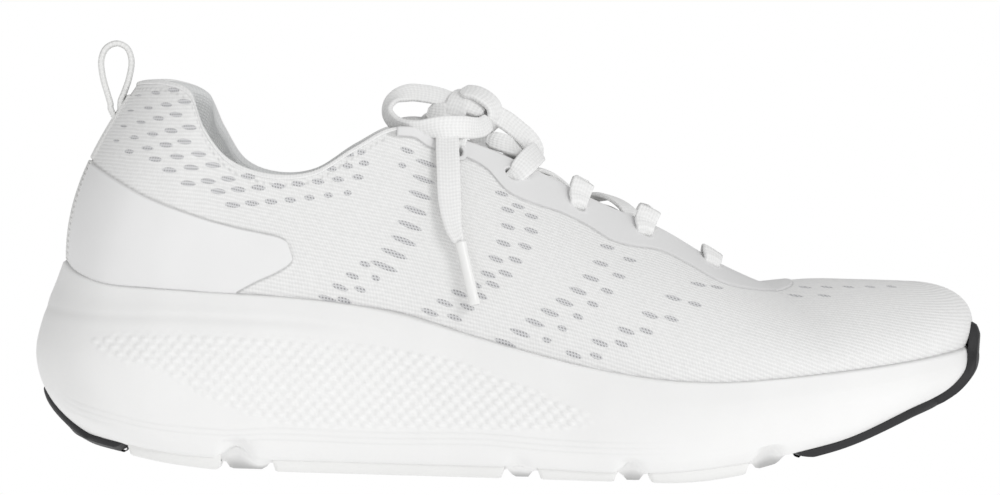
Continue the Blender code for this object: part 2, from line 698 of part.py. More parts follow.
def punch_eyelets(made):
    """Cut the ten lace holes through one layer."""
    for side in (-1, 1):
        for row in range(len(EYELETS)):
            u, v = eyelet(side, row)
            start = skin(u, v, -4.0)
            end = skin(u, v, 6.0)
            axis = (end - start).normalized()
            bpy.ops.mesh.primitive_cylinder_add(vertices=12, radius=EYELET_RADIUS * MM,
                                                depth=(end - start).length * MM,
                                                location=put((start + end) / 2))
            cutter = bpy.context.active_object
            cutter.rotation_mode = "QUATERNION"
            cutter.rotation_quaternion = axis.to_track_quat("Z", "Y")
            cutter.name = "punch"
            cutter.hide_render = True
            cutter.display_type = "WIRE"
            cut = made.modifiers.new("eyelet", "BOOLEAN")
            cut.operation = "DIFFERENCE"
            cut.object = cutter


# ------------------------------------------------------------------ tongue
def tongue_point(x, across_share, depth):
    z, half = along([(row[0], row[1], row[2]) for row in TONGUE], x)
    middle = height([(0.0, 0.5), (100.0, 0.5), (150.0, 2.2), (216.0, 4.0)], x)
    y = across_share * half
    slope = height([(row[0], row[1]) for row in TONGUE], x + 1) - z
    normal = Vector((-slope, 0.0, 1.0)).normalized()
    drop = TONGUE_DROP * (y / 20.0) ** 2
    return Vector((x, middle + y, z - drop)) - normal * depth


def make_tongue(name, faces, surface, trim):
    solid = Solid()
    hinge = put((TONGUE_HINGE[0], 4.0, TONGUE_HINGE[1]))
    xs = shares(TONGUE[0][0], TONGUE[-1][0], 24)
    xs = xs[trim:-1 - trim:2]
    edge = 1.0 - 0.05 * trim
    grids = []
    for depth in faces:
        grids.append([[tongue_point(x, c, depth) for c in shares(-edge, edge, 6)]
                      for x in xs])
    solid.slab(*grids)
    return solid.build(name, surface, hinge)


# ------------------------------------------------------------------ lacing and pull tab
def smooth_route(points, spacing):
    """Evenly spaced points, spacing millimetres apart, on a smooth curve through points."""
    rows = []
    run = 0.0
    for i, point in enumerate(points):
        if i:
            run += (Vector(point) - Vector(points[i - 1])).length
        rows.append((run,) + tuple(point))
    count = max(2, round(run / spacing))
    return [Vector(along(rows, run * i / count)) for i in range(count + 1)]


def tube(name, route, radius, surface, sides=2):
    """Round cord along a route, with closed ends."""
    curve = bpy.data.curves.new(name, "CURVE")
    curve.dimensions = "3D"
    curve.bevel_depth = radius * MM
    curve.bevel_resolution = sides
    curve.use_fill_caps = True
    line = curve.splines.new("POLY")
    line.points.add(len(route) - 1)
    for knot, point in zip(line.points, route):
        knot.co = (*put(point), 1.0)
    curve.materials.append(surface)
    made = bpy.data.objects.new(name, curve)
    bpy.context.scene.collection.objects.link(made)
    return made


def over_edge(side, row, lift):
    return skin(side * EYELETS[row][0], 1.0, -lift)


def under_rim(side, row, depth):
    return skin(side * EYELETS[row][0], 1.0, depth)


def strand(side, lift):
    """One end of the lace, from its hole at the toe up to the top hole."""
    points = []
    slack = side > 0
    for row in (4, 3, 2, 1, 0):
        u, v = eyelet(side, row)
        points += [skin(u, v, 4.2), skin(u, v, 0.3), skin(u, v, -3.2)]
        if row == 0:
            break
        landing = under_rim(-side, row - 1, 4.4)
        if slack and row == 1:
            points += [Vector(p) for p in LOOSE_STRAND] + [landing]
        else:
            edge = over_edge(side, row, 3.8)
            points += [edge, (edge + landing) / 2 + UP * lift, landing]
        side = -side
    return points


def lace_run(surface):
    """The part of the lace that the eyelets hold, from the knot to the knot."""
    lateral = strand(-1, STRAND_RISE[0])
    medial = strand(1, STRAND_RISE[1])
    points = list(reversed(LATERAL_TOP)) + list(reversed(lateral))
    points += BOTTOM_BAR + medial + MEDIAL_TOP
    tube("lace_laced", smooth_route(points, 4.6), LACE_RADIUS, surface)


def make_lace():
    woven = material("lace_white", (0.86, 0.86, 0.85), 0.85)
    plastic = material("aglet_clear", (0.82, 0.82, 0.80), 0.25)
    lace_run(woven)
    for name, route in (("lace_loop_lateral", LOOP_LATERAL), ("lace_loop_medial", LOOP_MEDIAL),
                        ("lace_end_lateral", END_LATERAL), ("lace_end_medial", END_MEDIAL)):
        tube(name, smooth_route(route, 4.0), LACE_RADIUS, woven)
    for name, route in (("aglet_lateral", AGLET_LATERAL), ("aglet_medial", AGLET_MEDIAL)):
        tube(name, [Vector(p) for p in route], AGLET_RADIUS, plastic, 3)
    bpy.ops.mesh.primitive_uv_sphere_add(segments=14, ring_count=8, radius=MM,
                                         location=put(KNOT_CENTRE))
    knot = bpy.context.active_object
    knot.name = "lace_knot"
    for corner in knot.data.vertices:
        corner.co = [c * size for c, size in zip(corner.co, KNOT_SIZE)]
    knot.data.shade_smooth()
    knot.data.materials.append(woven)


def make_pull_tab():
    ribbon = material("webbing", (0.85, 0.85, 0.84), 0.8)
    rows = [(i,) + point for i, point in enumerate(TAB_LOOP)]
    count = 2 * (len(TAB_LOOP) - 1)
    keys = [i * (len(TAB_LOOP) - 1) / count for i in range(count + 1)]
    grids = []
    for half in (-TAB_THICKNESS / 2, TAB_THICKNESS / 2):
        grid = []
        for key in keys:
            x, z = along(rows, key)
            ahead = Vector(along(rows, min(count, key + 0.05)))
            behind = Vector(along(rows, max(0.0, key - 0.05)))
            step = (ahead - behind).normalized()
            grid.append([Vector((x - step.y * half, y, z + step.x * half))
                         for y in (-TAB_WIDTH / 2, TAB_WIDTH / 2)])
        grids.append(grid)
    loop = Solid()
    loop.slab(*grids)
    loop.build("pull_tab_loop", ribbon, put((PULL_TAB_HINGE[0], 0.0, PULL_TAB_HINGE[1])))
    anchor = Solid()
    layer(anchor, ANCHOR_SHARES, shares(*ANCHOR_RISE, 4), TAB_ANCHOR)
    anchor.build("pull_tab_anchor", ribbon)


def make_sole():
    make_midsole()
    make_wrapped_rubber("outsole_heel", stations(0, 3), lambda t: 2.7 - 17 * t)
    make_wrapped_rubber("outsole_toe", stations(23, STATIONS), toe_wrap)
    for side, word in ((-1, "lateral"), (1, "medial")):
        make_pad(f"outsole_pad_heel_{word}", 29.0, 57.0, side)
        make_pad(f"outsole_pad_midfoot_{word}", 72.5, 141.5, side)
        make_pad(f"outsole_pad_ball_{word}", 151.5, 175.0, side)
        make_pad(f"outsole_pad_forefoot_{word}", 184.5, 214.0, side)


def toe_wrap(t):
    rise = max(0.0, (t - 0.9) / 0.1)
    return 1.6 + 8.0 * rise * rise


def make_inside():
    board = material("board_fibre", (0.78, 0.76, 0.70), 0.9)
    foam = material("sockliner_foam", (0.80, 0.80, 0.80), 0.9)
    cloth = material("sockliner_cloth", (0.55, 0.56, 0.58), 0.95)
    hinge = put((SOCKLINER_HINGE[0], 9.0, SOCKLINER_HINGE[1]))
    make_board("strobel_board", board, CUP_INSET + 0.5, 0.15, 1.5, 0.0)
    make_board("sockliner", foam, 9.8, 1.9, 6.4, 2.6, hinge)
    make_board("sockliner_cover", cloth, 7.2, 6.75, 7.35, 0.0, hinge)


def main():
    for old in list(bpy.data.objects):
        bpy.data.objects.remove(old, do_unlink=True)
    make_sole()
    make_inside()
    make_upper_layers()
    make_collar_lining()
    cloth = material("tongue_cloth", (0.84, 0.84, 0.83), 0.9)
    foam = material("tongue_padding", (0.80, 0.80, 0.78), 0.95)
    make_tongue("tongue_face", TONGUE_FACE, cloth, 0)
    make_tongue("tongue_foam", TONGUE_FOAM, foam, 2)
    make_tongue("tongue_lining", TONGUE_LINING, cloth, 0)
    make_lace()
    make_pull_tab()


main()
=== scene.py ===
"""Looks of a low-cut running shoe for the right foot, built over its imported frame.

Design frame, in millimetres: x runs from the back of the heel (0) to the toe, y is
negative on the outer (lateral) side, and z is the height above the ground.  place()
turns design points into metres in the frame's own axes.
"""
import math

import bpy
import bmesh
import numpy as np
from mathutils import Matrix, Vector


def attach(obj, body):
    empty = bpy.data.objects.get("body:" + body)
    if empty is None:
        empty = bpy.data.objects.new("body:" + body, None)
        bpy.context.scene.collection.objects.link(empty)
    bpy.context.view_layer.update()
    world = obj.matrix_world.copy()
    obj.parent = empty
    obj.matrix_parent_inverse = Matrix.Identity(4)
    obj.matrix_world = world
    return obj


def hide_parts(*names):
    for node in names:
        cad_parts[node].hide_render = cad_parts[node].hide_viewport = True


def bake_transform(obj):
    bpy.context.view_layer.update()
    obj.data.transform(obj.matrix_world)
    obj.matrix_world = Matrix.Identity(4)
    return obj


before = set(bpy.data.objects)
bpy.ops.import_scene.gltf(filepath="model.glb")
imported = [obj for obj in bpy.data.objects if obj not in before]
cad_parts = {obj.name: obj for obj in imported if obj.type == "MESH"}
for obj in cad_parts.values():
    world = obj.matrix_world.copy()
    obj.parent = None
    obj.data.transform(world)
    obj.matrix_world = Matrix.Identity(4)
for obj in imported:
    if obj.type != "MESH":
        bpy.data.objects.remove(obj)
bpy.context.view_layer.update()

MIDDLE = np.array((141.245, -0.145, 0.0))   # middle of the footprint, as in the frame
UP = np.array((0.0, 0.0, 1.0))
GAP = 0.3                  # clearance between the foam and the outsole pads
SHARE_STEP = 0.004         # small step of share, for directions on the surface

# Feather line, where the upper meets the midsole: share of the side, x, y, z
FEATHER_LATERAL = [
    (0.05, 12.5, -13.5, 58.0), (0.10, 21.0, -24.0, 54.8), (0.15, 34.0, -29.0, 53.9),
    (0.20, 48.0, -30.5, 53.3), (0.25, 63.0, -31.0, 52.9), (0.30, 79.0, -31.3, 52.0),
    (0.35, 95.0, -31.8, 50.6), (0.40, 111.0, -32.8, 48.2), (0.45, 127.0, -35.0, 43.6),
    (0.50, 143.0, -38.0, 39.2), (0.55, 159.0, -41.5, 35.2), (0.60, 175.0, -44.8, 32.4),
    (0.65, 191.0, -47.0, 30.7), (0.70, 207.0, -47.0, 30.6), (0.75, 223.0, -45.0, 32.2),
    (0.80, 238.0, -41.0, 34.3), (0.85, 252.5, -34.2, 36.6), (0.90, 265.5, -24.0, 39.2),
    (0.95, 275.4, -9.0, 41.8)]
FEATHER_MEDIAL = [
    (0.05, 12.5, 13.5, 58.0), (0.10, 21.0, 24.0, 55.0), (0.15, 34.0, 29.0, 54.4),
    (0.20, 48.0, 30.0, 54.2), (0.25, 63.0, 29.5, 54.2), (0.30, 79.0, 28.0, 54.0),
    (0.35, 95.0, 26.5, 53.0), (0.40, 111.0, 26.0, 50.8), (0.45, 127.0, 27.5, 46.4),
    (0.50, 143.0, 31.0, 41.6), (0.55, 159.0, 35.5, 37.0), (0.60, 175.0, 40.0, 33.5),
    (0.65, 191.0, 44.0, 31.4), (0.70, 207.0, 46.8, 30.8), (0.75, 223.0, 47.4, 32.2),
    (0.80, 238.0, 45.8, 34.3), (0.85, 252.0, 42.2, 36.5), (0.90, 264.8, 35.6, 39.1),
    (0.95, 275.0, 24.6, 41.7)]
HEEL_FEATHER = (9.1, 0.0, 61.5)
TOE_FEATHER = (279.3, 9.0, 43.1)

# Top edge of the upper: collar, then the lacing edge down to the end of the throat
RIM_LATERAL = [
    (0.05, 31.0, -11.5, 115.2), (0.10, 37.5, -20.5, 115.0), (0.15, 44.6, -25.5, 111.8),
    (0.20, 49.2, -27.4, 101.0), (0.25, 57.0, -28.3, 92.0), (0.30, 69.0, -28.8, 88.1),
    (0.35, 82.0, -28.6, 89.2), (0.40, 94.0, -26.9, 96.7), (0.45, 106.0, -23.6, 103.2),
    (0.50, 120.0, -19.8, 101.8), (0.55, 135.0, -17.6, 97.2), (0.60, 151.0, -16.5, 90.4),
    (0.65, 168.0, -15.3, 82.4), (0.70, 186.0, -13.6, 75.3), (0.75, 203.0, -9.6, 65.9)]
RIM_MEDIAL = [
    (0.05, 31.3, 11.5, 115.6), (0.10, 39.6, 20.5, 115.6), (0.15, 49.0, 25.5, 112.0),
    (0.20, 54.6, 27.4, 101.8), (0.25, 61.2, 28.3, 92.4), (0.30, 71.0, 28.8, 88.9),
    (0.35, 82.3, 28.6, 90.4), (0.40, 94.0, 27.2, 98.2), (0.45, 106.0, 24.8, 104.2),
    (0.50, 120.0, 22.3, 102.4), (0.55, 135.0, 21.4, 97.6), (0.60, 151.0, 21.2, 90.7),
    (0.65, 168.0, 20.8, 82.6), (0.70, 186.0, 19.8, 75.4), (0.75, 203.0, 16.6, 66.0)]
HEEL_RIM = (28.4, 0.0, 114.8)
THROAT_END = (216.0, 4.0, 60.2)
THROAT = 0.80              # where the two lacing edges meet

# Ridge of the toe, past the throat: share, x, y, z
RIDGE = [
    (0.80, 216.0, 4.0, 60.2), (0.85, 231.0, 5.2, 62.0), (0.90, 244.0, 6.3, 62.2),
    (0.95, 254.5, 7.3, 62.2), (1.00, 262.0, 8.0, 62.1)]

# Shape of the ribs: share, lower handle, its outward lean, upper handle, its angle
RIBS = [
    (0.00, 20.0, 0.05, 20.0, 33.0), (0.05, 20.0, 0.05, 20.0, 30.0),
    (0.10, 20.0, 0.06, 18.0, 22.0), (0.15, 19.0, 0.06, 16.0, 14.0),
    (0.20, 16.0, 0.08, 13.0, 10.0), (0.25, 13.0, 0.10, 11.0, 10.0),
    (0.30, 12.0, 0.12, 10.0, 10.0), (0.35, 13.0, 0.12, 11.0, 12.0),
    (0.40, 15.0, 0.10, 13.0, 16.0), (0.45, 18.0, 0.08, 16.0, 25.0),
    (0.50, 20.0, 0.06, 19.0, 38.0), (0.55, 20.0, 0.06, 20.0, 46.0),
    (0.60, 19.0, 0.08, 20.0, 50.0), (0.65, 17.0, 0.10, 20.0, 54.0),
    (0.70, 15.0, 0.12, 19.0, 60.0), (0.75, 13.0, 0.13, 19.0, 72.0),
    (0.80, 12.0, 0.14, 22.0, 86.0), (0.85, 12.0, 0.15, 20.0, 90.0),
    (0.90, 11.0, 0.24, 17.6, 90.0), (0.95, 11.0, 0.45, 15.4, 90.0),
    (1.00, 11.0, 0.45, 15.4, 90.0)]
CUP_INSET = 5.0            # how far the upper tucks in below the feather line

# Heights along the shoe: x, z
FOOTBED = [(0.0, 38.5), (30.0, 38.5), (60.0, 37.6), (110.0, 33.5), (150.0, 28.0),
           (190.0, 23.2), (215.0, 22.8), (245.0, 25.6), (265.0, 30.0), (283.0, 35.0)]
GROUND = [(0.0, 26.0), (3.4, 20.2), (7.0, 13.5), (15.5, 7.5), (27.0, 4.4), (38.0, 2.1),
          (48.0, 0.8), (58.0, 0.0), (66.0, 0.0), (186.0, 0.0), (194.0, 0.2),
          (204.0, 1.4), (215.0, 3.8), (225.6, 7.1), (244.9, 13.9), (259.7, 20.0),
          (271.5, 27.5), (278.8, 34.0), (283.0, 39.0)]
BOTTOM_INSET = 6.0         # width of the rounded edge between wall and flat underside
RUBBER = 2.3               # thickness of the outsole pads

# Flex grooves across the sole: x of the middle, rise at the wall, half width
FLEX_GROOVES = [(61.5, 4.6, 7.0), (146.0, 1.2, 5.0), (179.5, 3.6, 5.5), (219.5, 4.4, 6.0)]

# Midsole wall, from lip to bottom edge: outward offset and height at a few stations.
# Each row: share, then (offset, z) for the lip, neck, shelf, bulge, flank, bevel, edge
WALL_STATIONS = [
    (0.00, (1.6, 60.7), (3.5, 55.0), (6.2, 47.4), (8.9, 36.0), (7.8, 27.5), (3.8, 20.5), (-4.0, 12.6)),
    (0.10, (1.2, 54.0), (2.6, 50.5), (5.6, 44.8), (8.8, 33.5), (8.2, 22.0), (5.8, 14.0), (0.0, 8.6)),
    (0.20, (1.3, 52.5), (2.8, 49.8), (5.4, 44.9), (8.6, 32.0), (8.2, 18.0), (6.6, 9.6), (3.2, 4.2)),
    (0.35, (1.3, 49.8), (2.7, 47.0), (4.2, 42.6), (6.6, 30.0), (7.6, 17.0), (6.4, 8.6), (3.2, 3.6)),
    (0.50, (1.3, 38.4), (2.4, 35.2), (3.6, 31.2), (5.2, 23.0), (6.0, 14.5), (5.2, 7.8), (2.6, 3.6)),
    (0.65, (1.3, 29.9), (2.6, 26.8), (4.0, 23.0), (5.2, 17.5), (5.6, 11.8), (4.8, 6.8), (2.4, 3.4)),
    (0.80, (1.3, 33.5), (2.4, 31.0), (3.6, 28.0), (4.4, 24.0), (4.2, 19.4), (2.8, 15.6), (-0.4, 12.8)),
    (0.90, (1.2, 38.2), (1.9, 36.4), (2.6, 34.2), (2.8, 31.4), (1.8, 28.4), (-0.4, 25.9), (-4.4, 24.0)),
    (1.00, (0.8, 42.4), (1.1, 41.2), (1.1, 39.8), (0.6, 38.2), (-0.9, 36.3), (-3.2, 34.0), (-6.7, 31.0))]

# Outline of the heel overlay and the lower edge of the lacing overlay: x, z
HEEL_OVERLAY_TOP = [(8.0, 96.0), (15.6, 90.6), (22.0, 86.4), (32.9, 80.6), (49.1, 75.0),
                    (60.0, 72.3), (67.2, 71.0), (73.2, 69.6), (76.3, 67.2), (77.2, 64.8)]
HEEL_OVERLAY_FRONT = [(60.2, 53.1), (66.0, 56.4), (71.6, 59.1), (76.0, 62.2), (77.2, 64.6)]
EYESTAY_LOW = [(100.0, 103.0), (106.0, 101.2), (112.0, 100.6), (116.0, 98.2), (126.9, 95.4),
               (133.6, 92.0), (139.9, 85.6), (147.0, 82.4), (155.7, 79.8), (163.7, 76.2),
               (171.2, 71.9), (177.5, 70.3), (186.0, 69.2), (194.4, 65.4), (202.7, 61.0),
               (209.0, 59.0), (217.0, 58.0)]

# Lacing: share of the side and height up the rib for each pair of eyelets, top first
EYELETS = [(0.515, 0.925), (0.570, 0.905), (0.630, 0.900), (0.685, 0.900), (0.742, 0.915)]

# Tongue: x, z of its crown, half width
TONGUE = [(103.6, 104.8, 13.0), (107.6, 106.8, 16.0), (112.4, 107.3, 17.5), (117.4, 106.4, 18.5),
          (126.0, 101.8, 20.0), (140.0, 94.8, 20.0), (156.0, 87.0, 19.5), (172.0, 79.2, 18.5),
          (188.0, 70.4, 16.0), (200.0, 61.8, 13.5), (212.0, 54.2, 11.5)]
TONGUE_DROP = 7.0          # fall of its surface 20 mm to either side of the crown
TONGUE_MIDDLE = [(0.0, 0.5), (100.0, 0.5), (150.0, 2.2), (216.0, 4.0)]    # x, y

# Aglets: the two ends of each one's middle line
AGLET_LATERAL = [(126.8, -38.1, 69.0), (131.4, -40.4, 51.4)]
AGLET_MEDIAL = [(135.8, 35.6, 68.0), (139.4, 35.4, 50.6)]


# ------------------------------------------------------------------ curves and surface
def hermite(keys, values, at):
    """Smooth curve through values at rising keys, for an array of places on it."""
    at = np.asarray(at, float)
    i = np.searchsorted(keys[1:-1], at, side="left")
    j = i + 1
    before = np.maximum(i - 1, 0)
    after = np.minimum(i + 2, len(keys) - 1)
    more = (...,) + (None,) * (values.ndim - 1)
    span = (keys[j] - keys[i])[more]
    f = np.clip((at - keys[i]) / (keys[j] - keys[i]), 0, 1)[more]
    m1 = (values[j] - values[before]) / (keys[j] - keys[before])[more] * span
    m2 = (values[after] - values[i]) / (keys[after] - keys[i])[more] * span
    h1 = f * f * (3 - 2 * f)
    return (values[i] + (values[j] - values[i]) * h1
            + m1 * f * (1 - f) ** 2 + m2 * f * f * (f - 1))


def curve(rows, at):
    """Smooth curve through rows of (place on it, values...)."""
    table = np.array(rows, float)
    return hermite(table[:, 0], table[:, 1:], at)


def height(rows, x):
    """Value at x, from a table whose rows begin with x and the value."""
    return curve([(row[0], row[1]) for row in rows], x)[..., 0]


def loop_rows(lateral, medial, heel, toe=None):
    """One curve from the lateral side (share -1) round the heel (0) to the medial (+1)."""
    rows = [(-row[0],) + tuple(row[1:]) for row in reversed(lateral)]
    rows.append((0.0,) + tuple(heel))
    rows.extend(medial)
    if toe:
        last, first = medial[-1], lateral[-1]
        rows.insert(0, (-1.0,) + tuple(toe))
        rows.insert(0, (-2.0 + last[0],) + tuple(last[1:]))
        rows.append((1.0,) + tuple(toe))
        rows.append((2.0 - first[0],) + tuple(first[1:]))
    return rows


FEATHER = loop_rows(FEATHER_LATERAL, FEATHER_MEDIAL, HEEL_FEATHER, TOE_FEATHER)
RIM = loop_rows(RIM_LATERAL, RIM_MEDIAL, HEEL_RIM)
RIM = [(-THROAT,) + THROAT_END] + RIM + [(THROAT,) + THROAT_END]


def wrap(u):
    """Brings a share past the toe back to the other side."""
    return np.where(u > 1, u - 2, np.where(u < -1, u + 2, u))


def unit(vectors):
    return vectors / np.maximum(np.linalg.norm(vectors, axis=-1, keepdims=True), 1e-12)


def smooth(x, low, high):
    """0 below low and 1 above high, with a soft step between them."""
    f = np.clip((x - low) / (high - low), 0, 1)
    return f * f * (3 - 2 * f)


def rounded(f):
    """Quarter round: 0 at 0, rising steeply, and 1 from 1 on."""
    return np.sqrt(np.clip(1 - (1 - np.clip(f, 0, 1)) ** 2, 0, 1))


def turns(count):
    """Angles of count points round a circle."""
    return np.linspace(0, 2 * math.pi, count + 1)[:-1]


def squared(wave, power):
    """Sine or cosine pushed out, so that a circle becomes a rounded slab."""
    return np.sign(wave) * abs(wave) ** power


def feather(u):
    """Feather line: where the upper meets the midsole."""
    return curve(FEATHER, wrap(u))


def outward(u):
    """Level direction out of the feather line."""
    step = feather(u + SHARE_STEP) - feather(u - SHARE_STEP)
    level = np.stack((-step[..., 1], step[..., 0], np.zeros_like(step[..., 0])), -1)
    return unit(level)


def rim(u):
    """Top edge of the upper, and past the throat the ridge of the toe."""
    w = wrap(u)
    share = abs(w)[..., None]
    return np.where(share >= THROAT, curve(RIDGE, abs(w)), curve(RIM, w))


def upper(u, v):
    """Knit face: v from -1 (sewn edge under the foot) over 0 (feather line) to 1 (rim)."""
    u, v = np.broadcast_arrays(np.asarray(u, float), np.asarray(v, float))
    base = feather(u)
    out = outward(u)
    share = abs(wrap(u))
    low, lean, high, angle = np.moveaxis(curve(RIBS, share), -1, 0)[..., None]
    angle = np.radians(angle)
    top = rim(u)
    p1 = base + (UP + out * lean) * low
    # past the throat both sides follow the fall of the ridge, which keeps the crease faint
    step = curve(RIDGE, np.minimum(share + SHARE_STEP, 1.0)) - curve(RIDGE, share - SHARE_STEP)
    fall = step[..., 2] / np.maximum(abs(step[..., 0]), 0.01)
    fall = fall * smooth(share, THROAT + 0.02, THROAT + 0.10)
    dip = UP * (out[..., 0] * np.clip(fall, -0.6, 0.0))[..., None]
    p2 = top + ((out + dip) * np.sin(angle) - UP * np.cos(angle)) * high
    t = np.maximum(v, 0)[..., None]
    w = 1 - t
    face = base * w**3 + p1 * 3 * w * w * t + p2 * 3 * w * t * t + top * t**3
    turn = np.maximum(-v, 0) * math.pi / 2
    depth = base[..., 2] - height(FOOTBED, base[..., 0])
    tuck = out * (CUP_INSET * (1 - np.cos(turn)))[..., None]
    return face - (tuck + UP * (depth * np.sin(turn))[..., None])


def face_direction(u, v):
    """Unit normal of the knit face."""
    e = SHARE_STEP
    u, v = np.broadcast_arrays(np.asarray(u, float), np.asarray(v, float))
    across = upper(u + e, v) - upper(u - e, v)
    rise = upper(u, np.minimum(1.0, v + e)) - upper(u, np.maximum(-1.0, v - e))
    return unit(np.cross(rise, across))


def skin(u, v, inset):
    """Point that lies inset millimetres inside the knit's face."""
    u, v = np.broadcast_arrays(np.asarray(u, float), np.asarray(v, float))
    normal = face_direction(u, v)
    meets = (v >= 1.0) & (abs(u) >= THROAT)
    if meets.any():
        both = unit(normal + face_direction(-u, v))
        normal = np.where(meets[..., None], both, normal)
    return upper(u, v) - normal * np.asarray(inset, float)[..., None]


def height_to_share(u, rows):
    """How far up each rib the edge z(x) given by rows crosses it."""
    low, high = np.zeros_like(u), np.ones_like(u)
    for _ in range(24):
        mid = (low + high) / 2
        point = upper(u, mid)
        under = point[..., 2] < height(rows, point[..., 0])
        low, high = np.where(under, mid, low), np.where(under, high, mid)
    return (low + high) / 2


# ------------------------------------------------------------------ mesh building
def place(points):
    """Design millimetres to metres in the frame's axes."""
    return (np.asarray(points, float) - MIDDLE) * 0.001


def mesh_piece(name, points, faces, surface, body="shoe", uv=None, weld=False, **attributes):
    """Mesh object riding on a body, or on none; uv and attributes have one value a point."""
    mesh = bpy.data.meshes.new(name)
    mesh.from_pydata(place(points).tolist(), [], [tuple(face) for face in faces])
    corners = np.zeros(len(mesh.loops), int)
    mesh.loops.foreach_get("vertex_index", corners)
    if uv is not None:
        layer = mesh.uv_layers.new(name="weave")
        layer.data.foreach_set("uv", np.asarray(uv, float)[corners].ravel())
    for key, values in attributes.items():
        stored = mesh.attributes.new(key, "FLOAT", "POINT")
        stored.data.foreach_set("value", np.asarray(values, float).ravel())
    if weld:
        shape = bmesh.new()
        shape.from_mesh(mesh)
        bmesh.ops.remove_doubles(shape, verts=shape.verts, dist=2e-6)
        shape.to_mesh(mesh)
        shape.free()
    mesh.shade_smooth()
    mesh.materials.append(surface)
    made = bpy.data.objects.new(name, mesh)
    bpy.context.scene.collection.objects.link(made)
    if body:
        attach(made, body)
    return made


def quads(rows, columns, start=0, closed_rows=False, closed_columns=False, flip=False):
    """Faces of a grid of points, as rows of four point numbers."""
    i = np.arange(rows - (0 if closed_rows else 1))
    j = np.arange(columns - (0 if closed_columns else 1))
    a, b = np.meshgrid(i, j, indexing="ij")
    a2, b2 = (a + 1) % rows, (b + 1) % columns
    ring = [a * columns + b, a * columns + b2, a2 * columns + b2, a2 * columns + b]
    if flip:
        ring.reverse()
    return start + np.stack(ring, -1).reshape(-1, 4)


def grid_piece(name, grid, surface, body="shoe", uv=None, keep=None, flip=False,
               closed_rows=False, closed_columns=False, weld=False, **attributes):
    """Mesh object over a grid of points; keep says which points stay."""
    rows, columns = grid.shape[:2]
    faces = quads(rows, columns, 0, closed_rows, closed_columns, flip)
    if keep is not None:
        faces = faces[keep.ravel()[faces].all(axis=1)]
    flat = {key: value.ravel() for key, value in attributes.items()}
    if uv is not None:
        uv = uv.reshape(-1, 2)
    return mesh_piece(name, grid.reshape(-1, 3), faces, surface, body, uv, weld, **flat)


def lengths(points, axis):
    """Distance run along one axis of a grid of points."""
    steps = np.linalg.norm(np.diff(points, axis=axis), axis=-1)
    start = np.zeros_like(np.take(steps, [0], axis=axis))
    return np.concatenate((start, np.cumsum(steps, axis=axis)), axis=axis)


def run_map(grid):
    """Map of a grid: the length run along its rows, and along its columns."""
    return np.stack((lengths(grid, 0), lengths(grid, 1)), -1)


# ------------------------------------------------------------------ materials
class Paint:
    """One procedural material, built node by node."""

    def __init__(self, name, colour, roughness, sheen=0.0):
        self.material = bpy.data.materials.new(name)
        self.material.use_nodes = True
        self.nodes = self.material.node_tree.nodes
        self.links = self.material.node_tree.links
        self.shader = self.nodes["Principled BSDF"]
        self.shader.inputs["Base Color"].default_value = (*colour, 1.0)
        self.shader.inputs["Roughness"].default_value = roughness
        self.shader.inputs["Sheen Weight"].default_value = sheen
        self.shader.inputs["Sheen Roughness"].default_value = 0.5
        self.shader.inputs["Specular IOR Level"].default_value = 0.3
        self.colour = colour

    def add(self, kind, **settings):
        node = self.nodes.new("ShaderNode" + kind)
        for key, value in settings.items():
            setattr(node, key, value)
        return node

    def math(self, operation, a, b=None, c=None, clamp=False):
        node = self.add("Math", operation=operation, use_clamp=clamp)
        for socket, value in zip(node.inputs, (a, b, c)):
            if value is None:
                continue
            if isinstance(value, (int, float)):
                socket.default_value = value
            else:
                self.links.new(value, socket)
        return node.outputs[0]

    def noise(self, scale, detail=2.0):
        node = self.add("TexNoise")
        node.inputs["Scale"].default_value = scale
        node.inputs["Detail"].default_value = detail
        self.links.new(self.add("TexCoord").outputs["Object"], node.inputs["Vector"])
        return node.outputs["Fac"]

    def weave(self):
        """The two lengths, in millimetres, that the mesh's own map holds."""
        node = self.add("UVMap", uv_map="weave")
        parts = self.add("SeparateXYZ")
        self.links.new(node.outputs[0], parts.inputs[0])
        return parts.outputs[0], parts.outputs[1]

    def attribute(self, name):
        return self.add("Attribute", attribute_name=name).outputs["Fac"]

    def wave(self, run, pitch, phase=0.0):
        """0 to 1 and back once in each pitch."""
        turned = self.math("MULTIPLY_ADD", run, 2 * math.pi / pitch, phase)
        return self.math("MULTIPLY_ADD", self.math("SINE", turned), 0.5, 0.5)

    def mix(self, factor, low, high):
        node = self.add("Mix", data_type="RGBA")
        self.links.new(factor, node.inputs["Factor"])
        for socket, value in ((node.inputs[6], low), (node.inputs[7], high)):
            if isinstance(value, tuple):
                socket.default_value = (*value, 1.0)
            else:
                self.links.new(value, socket)
        return node.outputs[2]

    def shade(self, factor):
        """Multiplies the base colour by a grey factor, and returns the result."""
        return self.mix(factor, (0.0, 0.0, 0.0), self.colour)

    def paint(self, colour):
        self.links.new(colour, self.shader.inputs["Base Color"])

    def rough(self, value):
        self.links.new(value, self.shader.inputs["Roughness"])

    def bump(self, value, depth):
        """Relief of depth metres where value goes from 0 to 1."""
        node = self.add("Bump")
        node.inputs["Strength"].default_value = 1.0
        node.inputs["Distance"].default_value = depth
        self.links.new(value, node.inputs["Height"])
        self.links.new(node.outputs[0], self.shader.inputs["Normal"])


